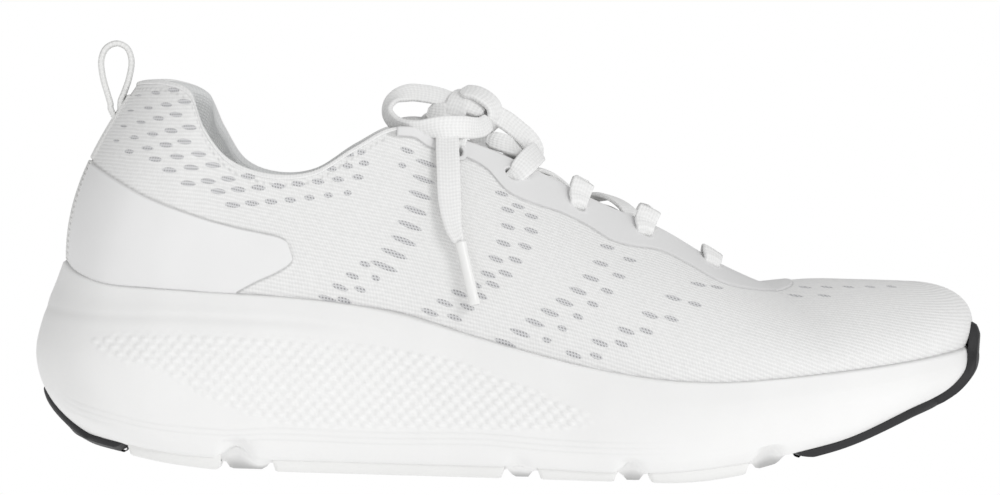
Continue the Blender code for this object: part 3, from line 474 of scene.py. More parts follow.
def knit_paint():
    """Ribbed knit; where the slot attribute rises above 0, an open mesh shows."""
    paint = Paint("knit", (0.88, 0.88, 0.875), 0.85, sheen=0.15)
    run, across = paint.weave()
    wobble = paint.math("MULTIPLY_ADD", paint.noise(160.0, 1.0), 0.5, -0.25)
    rib = paint.wave(paint.math("ADD", across, wobble), 1.2)
    stitch = paint.wave(run, 0.9)
    relief = paint.math("MULTIPLY_ADD", stitch, 0.30, paint.math("MULTIPLY", rib, 0.70))
    slot = paint.attribute("slot")
    inside = paint.math("MULTIPLY_ADD", slot, 5.0, 0.5, clamp=True)
    hair = paint.math("MULTIPLY_ADD", paint.noise(900.0, 3.0), 0.16, 0.92)
    # painted shade: the knit is darker down in the grooves between its ribs; the tone attribute adds
    # painted shadow along the overlays' edges
    lit = paint.math("MULTIPLY_ADD", relief, 0.10, 0.90)
    cloudy = paint.math("MULTIPLY", lit, hair)
    ridge = paint.shade(paint.math("MULTIPLY", cloudy, paint.attribute("tone")))
    # open mesh in the slots: grey threads in their own colour, the gaps between them darker as painted
    # shade of the inside seen through
    holes = paint.math("MULTIPLY", paint.wave(run, 0.95), paint.wave(across, 0.95, 1.0))
    open_mesh = paint.math("GREATER_THAN", holes, 0.35)
    mesh = paint.mix(open_mesh, (0.66, 0.66, 0.67), (0.36, 0.36, 0.37))
    paint.paint(paint.mix(inside, ridge, mesh))
    outside = paint.math("SUBTRACT", 1.0, inside)
    paint.bump(paint.math("MULTIPLY", relief, outside), 0.00014)
    return paint.material


def cloth_paint(name, colour, pitch, depth):
    """Close knitted cloth: small loops in two directions."""
    paint = Paint(name, colour, 0.9, sheen=0.1)
    dark = 0.15
    run, across = paint.weave()
    loops = paint.math("MULTIPLY", paint.wave(run, pitch), paint.wave(across, pitch * 0.8))
    hair = paint.math("MULTIPLY_ADD", paint.noise(700.0, 3.0), 0.4, loops)
    paint.paint(paint.shade(paint.math("MULTIPLY_ADD", hair, dark, 1.0 - dark, clamp=True)))
    paint.bump(hair, depth)
    return paint.material


def tape_paint(name, colour, pitch, depth):
    """Woven tape: fine ribs across it, over cords that run along it."""
    paint = Paint(name, colour, 0.82, sheen=0.1)
    run, across = paint.weave()
    slant = paint.math("ABSOLUTE", across)
    rib = paint.wave(paint.math("ADD", run, paint.math("MULTIPLY", slant, 0.15)), pitch)
    cord = paint.wave(across, 0.95)
    relief = paint.math("MULTIPLY_ADD", cord, 0.45, paint.math("MULTIPLY", rib, 0.55))
    # painted shade: the tape is darker down between its ribs and cords
    lit = paint.math("MULTIPLY_ADD", relief, 0.09, 0.91)
    hair = paint.math("MULTIPLY_ADD", paint.noise(800.0, 2.0), 0.08, 0.96)
    paint.paint(paint.shade(paint.math("MULTIPLY", lit, hair)))
    paint.bump(relief, depth)
    return paint.material


def moulded_paint(name, colour, roughness, scale, depth, mottling=0.03, tone=False):
    """Moulded foam, rubber or film: a fine grain and a slight unevenness of colour."""
    paint = Paint(name, colour, roughness)
    grain = paint.noise(scale, 3.0)
    cloud = paint.noise(60.0, 2.0)
    factor = paint.math("MULTIPLY_ADD", cloud, mottling * 2, 1.0 - mottling * 1.5)
    # the tone attribute carries painted light: shade along edges, in grooves and recesses, and
    # highlights on raised nubs
    if tone:
        factor = paint.math("MULTIPLY", factor, paint.attribute("tone"))
    paint.paint(paint.shade(factor))
    paint.rough(paint.math("MULTIPLY_ADD", grain, 0.16, roughness - 0.08))
    paint.bump(grain, depth)
    return paint.material


KNIT_PAINT = knit_paint()
FILM = moulded_paint("overlay_film", (0.86, 0.86, 0.86), 0.46, 900.0, 0.00003, tone=True)
FOAM = moulded_paint("midsole_foam", (0.90, 0.90, 0.895), 0.60, 700.0, 0.00006, tone=True)
BLACK = moulded_paint("black_rubber", (0.028, 0.028, 0.030), 0.55, 1400.0, 0.00008, 0.10)
WHITE = moulded_paint("white_rubber", (0.86, 0.86, 0.85), 0.45, 900.0, 0.00004)
BOARD = moulded_paint("fibre_board", (0.70, 0.69, 0.64), 0.85, 1200.0, 0.0001, 0.08)
PADDING = moulded_paint("padding_foam", (0.80, 0.80, 0.78), 0.95, 1500.0, 0.0002, 0.06)
INNER_MESH = moulded_paint("inner_mesh", (0.52, 0.53, 0.54), 0.92, 1600.0, 0.0002, 0.12)
LINING = cloth_paint("lining_cloth", (0.84, 0.85, 0.85), 1.1, 0.00012)
INSOLE = cloth_paint("insole_cloth", (0.60, 0.61, 0.62), 1.3, 0.00015)
TONGUE_CLOTH = cloth_paint("tongue_cloth", (0.84, 0.84, 0.835), 1.2, 0.00016)
LACE = tape_paint("lace", (0.90, 0.90, 0.895), 1.15, 0.00011)
WEBBING = tape_paint("webbing", (0.87, 0.87, 0.86), 1.3, 0.00018)
AGLET = Paint("aglet_plastic", (0.86, 0.86, 0.85), 0.22)
AGLET.bump(AGLET.noise(500.0), 0.00003)
AGLET.rough(AGLET.math("MULTIPLY_ADD", AGLET.noise(300.0), 0.1, 0.17))
AGLET = AGLET.material

for carried, paint in (("strobel_board", BOARD), ("heel_counter", BOARD), ("toe_puff", BOARD),
                       ("eyestay_backing", BOARD), ("vamp_lining", INNER_MESH),
                       ("collar_foam", PADDING), ("sockliner", PADDING)):
    for material_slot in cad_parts[carried].material_slots:
        material_slot.material = paint


# ------------------------------------------------------------------ sole
WALL_KEYS = np.array([row[0] for row in WALL_STATIONS])
WALL_ROWS = np.array([row[1:] for row in WALL_STATIONS])


def wall(u, level):
    """Side wall of the midsole: level 0 at the lip, 6 at the bottom edge, 7 under it."""
    u, level = np.broadcast_arrays(np.asarray(u, float), np.asarray(level, float))
    share = abs(wrap(u))
    profile = hermite(WALL_KEYS, WALL_ROWS, share)             # (..., 7, 2)
    base = feather(u)
    notch = flex_rise(base[..., 0]) * 0.9
    i = np.clip(np.floor(level).astype(int), 0, 5)
    f = np.clip(level - i, 0, 1)

    def row(k):
        k = np.clip(k, 0, 6)[..., None, None]
        k = np.broadcast_to(k, k.shape[:-1] + (2,))
        return np.take_along_axis(profile, k, -2)[..., 0, :]

    p0, p1, p2, p3 = row(i - 1), row(i), row(i + 1), row(i + 2)
    f = f[..., None]
    m1, m2 = (p2 - p0) / 2, (p3 - p1) / 2
    value = (p1 + (p2 - p1) * f * f * (3 - 2 * f)
             + m1 * f * (1 - f) ** 2 + m2 * f * f * (f - 1))
    offset, z = value[..., 0], value[..., 1]
    z = z + notch * smooth(level, 4.6, 5.8)
    side = base * (1, 1, 0) + outward(u) * offset[..., None] + UP * z[..., None]
    under = under_edge(u)
    g = np.clip(level - 6, 0, 1)[..., None]
    return side * (1 - g) + under * g


def ground(x):
    """Height of the tread over the floor: the heel and the toe curve up."""
    return np.maximum(0.0, height(GROUND, x))


def flex_rise(x):
    """How far the flex grooves rise into the bottom edge of the wall."""
    rise = np.zeros_like(x)
    for centre, tall, half in FLEX_GROOVES:
        reach = np.minimum(abs(x - centre) / half, 1)
        rise = rise + tall * (1 + np.cos(math.pi * reach)) / 2
    return rise


def under_edge(u):
    """Where the flat underside begins, inside the bottom edge of the wall."""
    offset = hermite(WALL_KEYS, WALL_ROWS[:, -1], abs(wrap(u)))[..., 0]
    base = feather(u)
    point = base * (1, 1, 0) + outward(u) * (offset - BOTTOM_INSET)[..., None]
    x = point[..., 0]
    return point + UP * (ground(x) + flex_rise(x) + RUBBER + GAP)[..., None]


LIP_CREASE = 0.20          # depth of the crease along the shelf, and its level
CREASE_LEVEL = 2.0
UNDERSIDE_DROP = 2.1       # how far the underside comes down between two pads


def make_midsole():
    """Foam wall all round, its lip inside the upper, and the underside between the pads."""
    us = np.linspace(-1, 1, 1121)[:-1]
    levels = np.concatenate((np.linspace(0, 1.6, 10)[:-1], np.linspace(1.6, 5.0, 66),
                             np.linspace(5.0, 7.0, 12)[1:]))
    face = wall(us[:, None], levels[None, :])
    across = np.roll(face, -1, 0) - np.roll(face, 1, 0)
    up = np.gradient(face, axis=1)
    normal = unit(np.cross(across, up))
    x, z = face[..., 0], face[..., 2]
    crease = LIP_CREASE * np.exp(-((levels - CREASE_LEVEL) / 0.16) ** 2)[None, :]
    relief = nubs(x, z) + lines(x, z) - crease * smooth(100 - x, 0, 30)
    face = face + normal * relief[..., None]
    lip = -0.25 - 0.36 * smooth(-abs(wrap(us)), -0.22, -0.19)
    inner = np.stack([skin(us, np.full_like(us, v), lip) for v in (0.0, -0.25)], 1)
    whole = np.concatenate((inner[:, ::-1], face), 1)
    # painted shade in the grooves and the crease, and a painted highlight on the raised nubs
    tone = 1.0 - 0.10 * np.clip(-relief / 0.35, 0, 1) + 0.02 * np.clip(relief / 0.4, 0, 1)
    tone = np.concatenate((np.ones(inner.shape[:2]), tone), 1)
    made = grid_piece("midsole_foam", whole, FOAM, closed_rows=True, flip=True, tone=tone)
    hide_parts("midsole")
    left, right, f, floor = underside(np.linspace(0.0, 1.0, 261), 41)
    fx = floor[..., 0]
    middle = (left[:, None, 1] + right[:, None, 1]) / 2
    channel = 2.4 * smooth(-abs(floor[..., 1] - middle), -5.5, -3.0)
    width = abs(left[:, None, 1] - right[:, None, 1])
    inside = smooth(np.minimum(f[..., 0], 1 - f[..., 0]) * width, 2.0, 11.0)
    between = np.ones_like(fx)
    for _, low, high in PADS:
        between = between * (1 - smooth(fx, low - 3, low - 1) * smooth(-fx, -high - 3, -high - 1))
    between = between * smooth(fx, 40, 44) * smooth(-fx, -226, -222)
    channel = channel * smooth(fx, 24, 40) * smooth(-fx, -216, -200)
    floor[..., 2] = (ground(fx) + flex_rise(fx) * (1 - inside) + RUBBER + GAP + channel
                     - UNDERSIDE_DROP * between * inside)
    # painted shade on the underside between the pads, where it lies deep under the sole
    tone = 1 - 0.5 * between * smooth(inside, 0.3, 1.0)
    under = grid_piece("midsole_underside", floor, FOAM, tone=tone)


def underside(shares, columns):
    """Both bottom edges, the steps between them, and a grid of points from one to the other."""
    left, right = under_edge(-shares), under_edge(shares)
    f = np.linspace(0, 1, columns)[None, :, None]
    return left, right, f, left[:, None] * (1 - f) + right[:, None] * f


# Leaf-shaped field of nubs on the wall: x, z of its two edges
LEAF_TOP = [(15.0, 38.6), (23.5, 40.7), (67.0, 41.0), (91.0, 39.6), (121.0, 36.9),
            (141.0, 30.5), (153.0, 26.3), (167.0, 20.7), (172.0, 17.0)]
LEAF_BOTTOM = [(15.0, 37.6), (22.3, 32.3), (38.9, 27.7), (49.6, 22.0), (67.8, 15.0),
               (79.8, 12.9), (133.8, 13.4), (160.0, 14.2), (172.0, 16.6)]
NUB_PITCH = (3.7, 2.1)     # along the shoe and up
NUB_HEIGHT = 0.55


def nubs(x, z):
    """Field of small raised scales on the wall, staggered like bricks, in a leaf outline."""
    top, bottom = height(LEAF_TOP, x), height(LEAF_BOTTOM, x)
    inside = smooth(top - z, 0.0, 2.0) * smooth(z - bottom, 0.0, 2.4) * smooth(x, 15.0, 19.0)
    inside = inside * smooth(-x, -170.0, -160.0)
    lean = z + 0.10 * (x - 90.0) + 8.0 * (np.clip(x - 90.0, -80.0, 80.0) / 80.0) ** 2
    row = lean / NUB_PITCH[1]
    count = np.floor(row)
    a = (x / NUB_PITCH[0] + 0.5 * (count % 2)) % 1.0 - 0.5
    b = row - count - 0.5
    scale = 1 - np.sqrt((a / 0.41) ** 2 + (b / 0.46) ** 2)
    return NUB_HEIGHT * smooth(scale, 0.0, 0.55) * inside


# Lowest of the moulded grooves: x, z
PINSTRIPE = [(5.0, 22.0), (12.0, 16.4), (29.0, 11.4), (41.0, 9.6), (59.0, 8.8), (72.0, 9.6),
             (104.0, 9.2), (134.0, 9.8), (156.0, 8.6), (180.0, 8.4), (200.0, 10.0), (225.0, 16.4)]


def lines(x, z):
    """Fine moulded grooves that follow the bottom edge."""
    base = height(PINSTRIPE, x)
    depth = np.zeros_like(x)
    for lift in (0.0, 1.7, 3.4):
        depth = depth + np.exp(-((z - base - lift) / 0.28) ** 2)
    return -0.15 * depth * smooth(x, 8.0, 14.0) * smooth(-x, -200.0, -160.0)


TREAD_PITCH = 5.0          # between the cross grooves of the black rubber


def thin_ends(count):
    """1 along a strip of count points, falling to 0 at both ends."""
    return np.clip((1 - abs(2 * np.linspace(0, 1, count) - 1)) * 14, 0, 1) ** 0.5


def make_wrapped_rubber(name, node, low, high, wall_lift, top_level):
    """Rubber under one end of the sole that turns up over the end of the wall."""
    half = np.linspace(low, high, 90)
    if low == 0:
        us = np.concatenate((-half[::-1], half[half > 0]))
    else:
        us = np.concatenate((half, 2 - half[::-1][1:]))
    top = top_level(np.where(abs(us) > 1, 2 - abs(us), abs(us)))
    f = np.linspace(0, 1, 40)
    level = 7 - f[None, :] * (top[:, None])
    thick = RUBBER * thin_ends(len(us))
    edge = np.clip((1 - f) * 9, 0, 1) ** 0.5
    track = fill_notch(us, track_point(us[:, None], level), level)
    normal = unit(np.cross(np.gradient(track, axis=1), np.gradient(track, axis=0)))
    if normal[len(us) // 2, 2, 2] > 0:
        normal = -normal
    stands = wall_lift + (RUBBER - wall_lift) * smooth(level, 5.6, 7.0)
    lift = 0.05 + (thick[:, None] / RUBBER) * edge[None, :] * stands
    outer = track + normal * lift[..., None]
    made = grid_piece(name, outer, BLACK, flip=True)
    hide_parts(node)
    floor = underside(half, 31)[3]
    fx = floor[..., 0]
    tread = 0.7 * smooth(np.cos(fx / TREAD_PITCH * 2 * math.pi), 0.75, 0.95)
    floor[..., 2] = (ground(fx) + flex_rise(fx) + RUBBER + GAP - 0.05
                     - RUBBER * thin_ends(len(half))[:, None] + tread)
    floor_piece = grid_piece(name + "_tread", floor, BLACK)


NOTCH = (-2.0, 0.9)        # levels between which the rubber bridges the groove


def fill_notch(us, track, level):
    """Carries the rubber straight across the groove between the sole's lip and the knit."""
    out = outward(us)[:, None]
    reach = ((track - feather(us)[:, None]) * out).sum(-1)
    lip = track_point(us, np.full_like(us, NOTCH[1]))
    knit = track_point(us, np.full_like(us, NOTCH[0]))
    lip_reach = ((lip - feather(us)) * out[:, 0]).sum(-1)[:, None]
    knit_reach = ((knit - feather(us)) * out[:, 0]).sum(-1)[:, None]
    t = (track[..., 2] - lip[:, None, 2]) / (knit[:, None, 2] - lip[:, None, 2])
    line = lip_reach + t * (knit_reach - lip_reach)
    inside = (level < NOTCH[1]) & (level > NOTCH[0])
    gain = np.where(inside, np.maximum(0.0, line - reach), 0.0)
    return track + out * gain[..., None]


def track_point(u, level):
    """The wall by level, and below level 0 on up the toe of the upper."""
    u, level = np.broadcast_arrays(u, level)
    low = wall(u, np.maximum(level, 0))
    high = upper(u, np.clip(-level * 0.12, 0.0, 1.0))
    return np.where((level >= 0)[..., None], low, high)


# White pads, a pair each: name, first and last x
PADS = [("heel", 29.0, 57.0), ("midfoot", 72.5, 141.5), ("ball", 151.5, 175.0),
        ("forefoot", 184.5, 214.0)]
PAD_MARGIN = 5.2           # how far a pad reaches past the flat underside
PAD_SIDE_GAP = 5.0         # from the middle of the sole to a pad
LUG_PITCH = 9.0            # along the shoe, between the crossed grooves of a pad


def make_pads():
    """White pads under the sole, each with rounded edges and crossed grooves."""
    for word, low, high in PADS:
        for side, side_word in ((-1, "lateral"), (1, "medial")):
            xs = np.linspace(low, high, int((high - low) / 0.8))
            ts = np.linspace(0.02, 0.98, 400)
            near, far = under_edge(side * ts), under_edge(-side * ts)
            edge = np.interp(xs, near[:, 0], near[:, 1]) + side * PAD_MARGIN
            other = np.interp(xs, far[:, 0], far[:, 1]) - side * PAD_MARGIN
            inner = (edge + other) / 2 + side * PAD_SIDE_GAP
            f = np.linspace(0, 1, 44)
            y = inner[:, None] * (1 - f) + edge[:, None] * f
            x = np.broadcast_to(xs[:, None], y.shape)
            along_edge = np.minimum(xs - low, high - xs)[:, None]
            across_edge = np.minimum(f, 1 - f) * abs(edge - inner)[:, None]
            round_off = np.minimum(along_edge, across_edge)
            dome = rounded(round_off / 1.6)
            lug = np.maximum(np.cos((x + y) * 2 * math.pi / LUG_PITCH),
                             np.cos((x - y) * 2 * math.pi / LUG_PITCH))
            groove = smooth(lug, 0.86, 0.97) * smooth(round_off, 1.8, 3.2)
            z = ground(x) + RUBBER + GAP - (RUBBER + GAP) * dome + groove
            grid = np.stack((x, y, z), -1)
            grid = np.concatenate((grid, grid[:, -1:] + UP * 1.9), 1)
            made = grid_piece("pad_" + word + "_" + side_word, grid, WHITE, flip=side > 0)
            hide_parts("outsole_pad_" + word + "_" + side_word)


# ------------------------------------------------------------------ upper
# Slots in the knit, each run: points it passes through (x, z), count, lengths at its ends
SLOT_ROWS = [
    ([(28.7, 111.2), (39.5, 113.0)], 3, 4.0, 4.2), ([(26.6, 106.5), (42.9, 109.6)], 4, 3.6, 4.4),
    ([(24.7, 101.9), (40.5, 105.7)], 4, 3.6, 4.4), ([(22.6, 97.4), (44.7, 102.0)], 5, 3.6, 4.6),
    ([(26.7, 94.3), (43.3, 97.7)], 4, 4.0, 4.6), ([(34.7, 92.2), (47.7, 94.1)], 3, 4.4, 4.6),
    ([(39.1, 89.0), (52.1, 90.9)], 3, 4.6, 4.8), ([(44.8, 85.2), (62.7, 87.8)], 4, 4.6, 4.4),
    ([(53.9, 83.1), (72.1, 85.3), (95.4, 88.5)], 8, 4.6, 3.6),
    ([(58.3, 79.2), (75.7, 81.2), (92.5, 83.7)], 7, 4.6, 2.4),
    ([(87.4, 90.8), (97.1, 92.7)], 3, 3.4, 3.2), ([(92.6, 95.2), (96.2, 96.0)], 2, 3.0, 2.6)]
SLOT_COLUMNS = [
    ([(115.7, 93.2), (113.8, 82.0), (109.8, 70.1), (104.0, 62.1)], 8, 7.0, 8.6),
    ([(98.2, 62.6), (87.4, 51.9)], 4, 3.4, 6.0), ([(109.9, 96.9), (108.6, 92.4)], 2, 4.6, 2.6),
    ([(101.6, 58.6), (92.4, 51.6)], 3, 2.8, 4.6),
    ([(138.4, 84.8), (141.2, 77.8), (139.2, 69.5), (134.9, 60.3), (118.0, 48.8)], 10, 4.4, 5.6),
    ([(143.4, 81.2), (148.6, 77.5), (146.1, 69.7), (140.3, 61.1), (125.4, 47.4)], 10, 4.4, 5.0),
    ([(170.3, 69.8), (167.6, 62.5), (160.5, 54.8), (140.7, 40.3)], 9, 5.0, 7.0),
    ([(177.1, 66.2), (171.6, 57.6), (163.6, 50.0), (153.0, 41.6)], 7, 4.6, 3.0),
    ([(197.8, 59.4), (190.5, 55.3), (178.6, 46.0), (161.1, 37.4)], 6, 5.4, 5.6),
    ([(203.4, 58.7), (193.4, 50.8), (184.0, 45.9), (167.8, 37.2)], 6, 4.6, 4.4),
    ([(227.2, 56.8), (235.6, 57.1)], 2, 5.4, 4.6), ([(230.0, 59.4), (256.0, 60.3)], 5, 4.6, 3.4)]
SLOT_TILT = {"rows": -4.0, "columns": -20.0}
SLOT_HALF_WIDTH = 0.85


def slot_list():
    """Every slot: x, z, length and tilt in degrees."""
    out = []
    for kind, runs in (("rows", SLOT_ROWS), ("columns", SLOT_COLUMNS)):
        for points, count, first, last in runs:
            points = np.array(points)
            step = lengths(points, 0)
            for k in range(count):
                f = k / max(1, count - 1)
                x = np.interp(f * step[-1], step, points[:, 0])
                z = np.interp(f * step[-1], step, points[:, 1])
                out.append((x, z, first + (last - first) * f, SLOT_TILT[kind]))
    return out


def slot_field(face, normal):
    """1 in the middle of a slot, 0 on its edge and below 0 outside, for each point."""
    field = np.full(face.shape[:2], -1.0)
    x, z = face[..., 0], face[..., 2]
    steep = np.maximum(abs(normal[..., 1]), 0.30)
    for sx, sz, long, tilt in slot_list():
        near = (abs(x - sx) < 6) & (abs(z - sz) < 5)
        a = math.radians(tilt)
        dx = (x - sx) / np.maximum(np.hypot(normal[..., 1], normal[..., 2]), 0.45)
        dz = (z - sz) / steep
        p = dx * math.cos(a) + dz * math.sin(a)
        q = -dx * math.sin(a) + dz * math.cos(a)
        reach = 1 - np.sqrt((p / (long / 2)) ** 2 + (q / SLOT_HALF_WIDTH) ** 2)
        field = np.where(near, np.maximum(field, reach), field)
    return field


# Slope of the knit's ribs along the shoe: x, fall for each millimetre
RIB_SLOPE = [(0.0, 0.06), (40.0, 0.10), (90.0, 0.16), (140.0, 0.24), (200.0, 0.30),
             (240.0, 0.34), (262.0, 0.30), (285.0, 0.0)]


def rib_run(face, us):
    """Running height across the ribs, which slant down towards the toe."""
    x = face[..., 0]
    grid = np.linspace(0, 290, 581)
    slope = height(RIB_SLOPE, grid)
    run = np.concatenate(([0], np.cumsum((slope[1:] + slope[:-1]) / 2 * np.diff(grid))))
    return feather(us)[:, None, 2] + lengths(face, 1) + np.interp(x, grid, run)


SLOT_DENT = 0.16           # how far the open mesh of a slot lies below the knit
SEAM_DEPTH = 2.4           # from the collar's edge down to the row of stitches
STITCH_PITCH = 2.2
HOLE_CUT = 2.1             # radius of the knit cut away at each lace hole
MAP_ROW = 30               # line of the grid that gives the map its length along the shoe


def make_knit():
    """Knit shell of the upper, with its perforations, painted shadows and lace holes."""
    us = np.linspace(-1, 1, 861)
    vs = np.concatenate(([-0.06, -0.03], np.linspace(0, 1, 106)))
    face = skin(us[:, None], vs[None, :], np.zeros((len(us), len(vs))))
    normal = face_direction(us[:, None], vs[None, :])
    under_overlay = overlay_cover(us, vs, face)
    field = np.where(under_overlay > -0.3, -1.0, slot_field(face, normal))
    rib = rib_run(face, us)
    dent = SLOT_DENT * smooth(field, -0.2, 0.6)
    face = face - normal * dent[..., None]
    # painted shadow on the knit along the edges of the overlays; below, the row of stitches along the
    # collar is made darker too
    shadow = np.exp(-(np.clip(-under_overlay - 0.2, 0, 9) / 0.30) ** 2)
    up_run, along = lengths(face, 1), lengths(face[:, -1], 0)
    seam = np.exp(-((up_run[:, -1:] - up_run - SEAM_DEPTH) / 0.45) ** 2)
    seam = seam * (abs(us) < 0.44)[:, None]
    stitches = seam * smooth(np.cos(along * 2 * math.pi / STITCH_PITCH), 0.0, 0.6)[:, None]
    tone = 1.0 - 0.30 * shadow - 0.20 * stitches
    keep = eyelet_distance(face) > HOLE_CUT
    run = lengths(face[:, MAP_ROW:MAP_ROW + 1], 0)
    uv = np.stack((np.broadcast_to(run, rib.shape), rib), -1)
    made = grid_piece("upper_knit_cloth", face, KNIT_PAINT, uv=uv, keep=keep, flip=True,
                      weld=True, slot=field, tone=tone)
    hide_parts("upper_knit")


def eyelet_points():
    """Share and height up the rib of all ten lace holes."""
    u = np.array([side * share for side in (-1, 1) for share, _ in EYELETS])
    v = np.array([rise for side in (-1, 1) for _, rise in EYELETS])
    return u, v


def eyelet_distance(face):
    """Distance from each point to the nearest lace hole."""
    u, v = eyelet_points()
    centres = skin(u, v, np.zeros_like(u))
    gap = np.linalg.norm(face[:, :, None, :] - centres, axis=-1)
    return gap.min(-1)


def overlay_cover(us, vs, face):
    """How far inside the overlays' outlines each point lies, in millimetres up the rib."""
    run = lengths(face, 1)

    def run_at(heights):
        return np.array([np.interp(v, vs, row) for v, row in zip(heights, run)])[:, None]

    share = abs(us)
    low, high = heel_band(us)
    over_heel = np.minimum(run - run_at(low), run_at(high) - run)
    over_stay = run - run_at(stay_band(us))
    cover = np.full(face.shape[:2], -50.0)
    for inside, depth in ((share < HEEL_OVERLAY_END, over_heel),
                          ((share > 0.44) & (share < STAY_END), over_stay)):
        cover = np.where(inside[:, None], np.maximum(cover, depth), cover)
    return cover


def heel_band(us):
    """Lower and upper edge of the heel overlay, up each rib."""
    top = height_to_share(us, HEEL_OVERLAY_TOP)
    low = np.where(upper(us, 0.0)[..., 0] > HEEL_OVERLAY_FRONT[0][0],
                   np.maximum(0.0, height_to_share(us, HEEL_OVERLAY_FRONT)), -0.02)
    return low, np.maximum(top, low)


HEEL_OVERLAY_END = 0.30    # share at which the heel overlays end
STAY_START = 0.452         # share at which the lacing overlay begins, near the collar's end
STAY_END = 0.828           # share at which it ends, past the throat


def stay_band(us):
    """Lower edge of the lacing overlay, up each rib; it closes in a round past the throat."""
    low = height_to_share(us, EYESTAY_LOW)
    at_throat = height_to_share(np.sign(us) * (THROAT - 0.001), EYESTAY_LOW)
    past = np.clip((abs(us) - THROAT) / (STAY_END - THROAT), 0, 1)
    return np.where(abs(us) > THROAT, 1 - (1 - at_throat) * np.sqrt(1 - past**2), low)


FILM_HEIGHT = 0.55
FILM_SHOULDER = 0.55       # width of the film's rounded edge


def film_grid(us, low, high, columns, depth_of):
    """Bonded film between two edges on the knit: its points and their tone, with painted shade along the
    film's edge.
    """
    f = np.linspace(0, 1, columns)
    vs = low[:, None] * (1 - f) + high[:, None] * f
    flat = upper(us[:, None], vs)
    depth = depth_of(lengths(flat, 1), lengths(flat, 0) + 0.02)
    grid = skin(us[:, None], vs, -FILM_HEIGHT * rounded(depth / FILM_SHOULDER))
    # painted shade: darker within about 0.35 mm of the film's edge
    return grid, 1 - 0.22 * np.exp(-(depth / 0.35) ** 2)


def make_heel_overlays():
    """Bonded film on each side of the heel."""
    for side, word in ((-1, "lateral"), (1, "medial")):
        us = side * np.linspace(0.002, HEEL_OVERLAY_END, 190)
        low, high = heel_band(us)
        grid, tone = film_grid(us, low, high, 90, lambda run, start: np.minimum(
            np.minimum(run, run[:, -1:] - run), start))
        made = grid_piece("heel_film_" + word, grid, FILM, flip=side > 0, tone=tone)
        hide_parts("heel_overlay_" + word)


def make_eyestay():
    """Lacing overlay, with its edge rolled over into the throat."""
    for side in (-1, 1):
        share = np.linspace(STAY_START, STAY_END, 330)
        u = side * share
        grid, tone = film_grid(u, stay_band(u), np.ones_like(u), 70, np.minimum)
        open_edge = np.where(share < THROAT, 1.0, 0.0)[:, None]
        normal = face_direction(u, np.ones_like(u))
        rise = unit(upper(u, 1.0) - upper(u, 0.985))
        top = grid[:, -1]
        rolled = []
        radius = 1.05 * open_edge
        for angle in np.linspace(0.35, math.pi, 8):
            rolled.append(top - normal * radius * (1 - math.cos(angle))
                          + rise * radius * math.sin(angle) * 0.8)
        back = rolled[-1] - rise * (5.0 * open_edge)
        grid = np.concatenate((grid, np.stack(rolled + [back], 1)), 1)
        # painted shade: the whole overlay darker, as it faces up, and its rolled edge a little darker
        # still
        tone = np.concatenate((tone, np.full((len(u), 9), 0.97)), 1) * 0.93
        keep = eyelet_distance(grid) > 2.2
        made = grid_piece("eyestay_film_" + ("lateral" if side < 0 else "medial"), grid, FILM,
                          flip=side > 0, keep=keep, tone=tone)
        if side < 0:
            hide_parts("eyestay_overlay")


def make_eyelet_rims():
    """Punched edge of each lace hole: a small lip, and the wall that goes in."""
    u, v = eyelet_points()
    points, faces, tone = [], [], []
    turn = turns(32)
    profile = [(3.5, -0.50), (2.9, -0.66), (2.45, -0.68), (2.25, -0.55), (2.2, -0.1), (2.2, 1.2),
               (1.9, 2.2)]     # radius, depth under the knit's face
    for k in range(len(u)):
        # ring points are found on the surface itself, so that the lip follows its curve
        step_u = np.linalg.norm(upper(u[k] + 0.01, v[k]) - upper(u[k] - 0.01, v[k])) / 0.02
        step_v = np.linalg.norm(upper(u[k], v[k] + 0.01) - upper(u[k], v[k] - 0.01)) / 0.02
        for radius, inset in profile:
            ru = u[k] + np.cos(turn) * radius / step_u
            rv = np.clip(v[k] + np.sin(turn) * radius / step_v, 0, 1)
            ring = upper(ru, rv) - face_direction(ru, rv) * inset
            points.append(ring)
            # painted shade: the lip a little darker, and the wall going into the hole much darker
            tone.append(np.full(len(turn), 0.93 if inset < 0 else 0.6))
        start = k * len(profile) * len(turn)
        faces.append(quads(len(profile), len(turn), start, closed_columns=True, flip=u[k] < 0))
    made = mesh_piece("eyelet_rims", np.concatenate(points), np.concatenate(faces), FILM,
                      tone=np.concatenate(tone))


# Padding of the collar: share, thickness
FOAM_DEPTH = [(0.0, 4.6), (0.1, 4.6), (0.2, 3.9), (0.3, 3.4), (0.38, 1.6), (0.45, 0.9),
              (1.0, 0.9)]
CLOTH_ALLOWANCE = 1.85     # added to the padding for the cloth on its two sides
COLLAR_END = 0.468         # share at which the collar ends, at the top of the lacing
LINING_INSET = 3.6         # from the knit's face in to the lining, below the padded part
BEAD = 0.95                # radius of the rolled knit edge


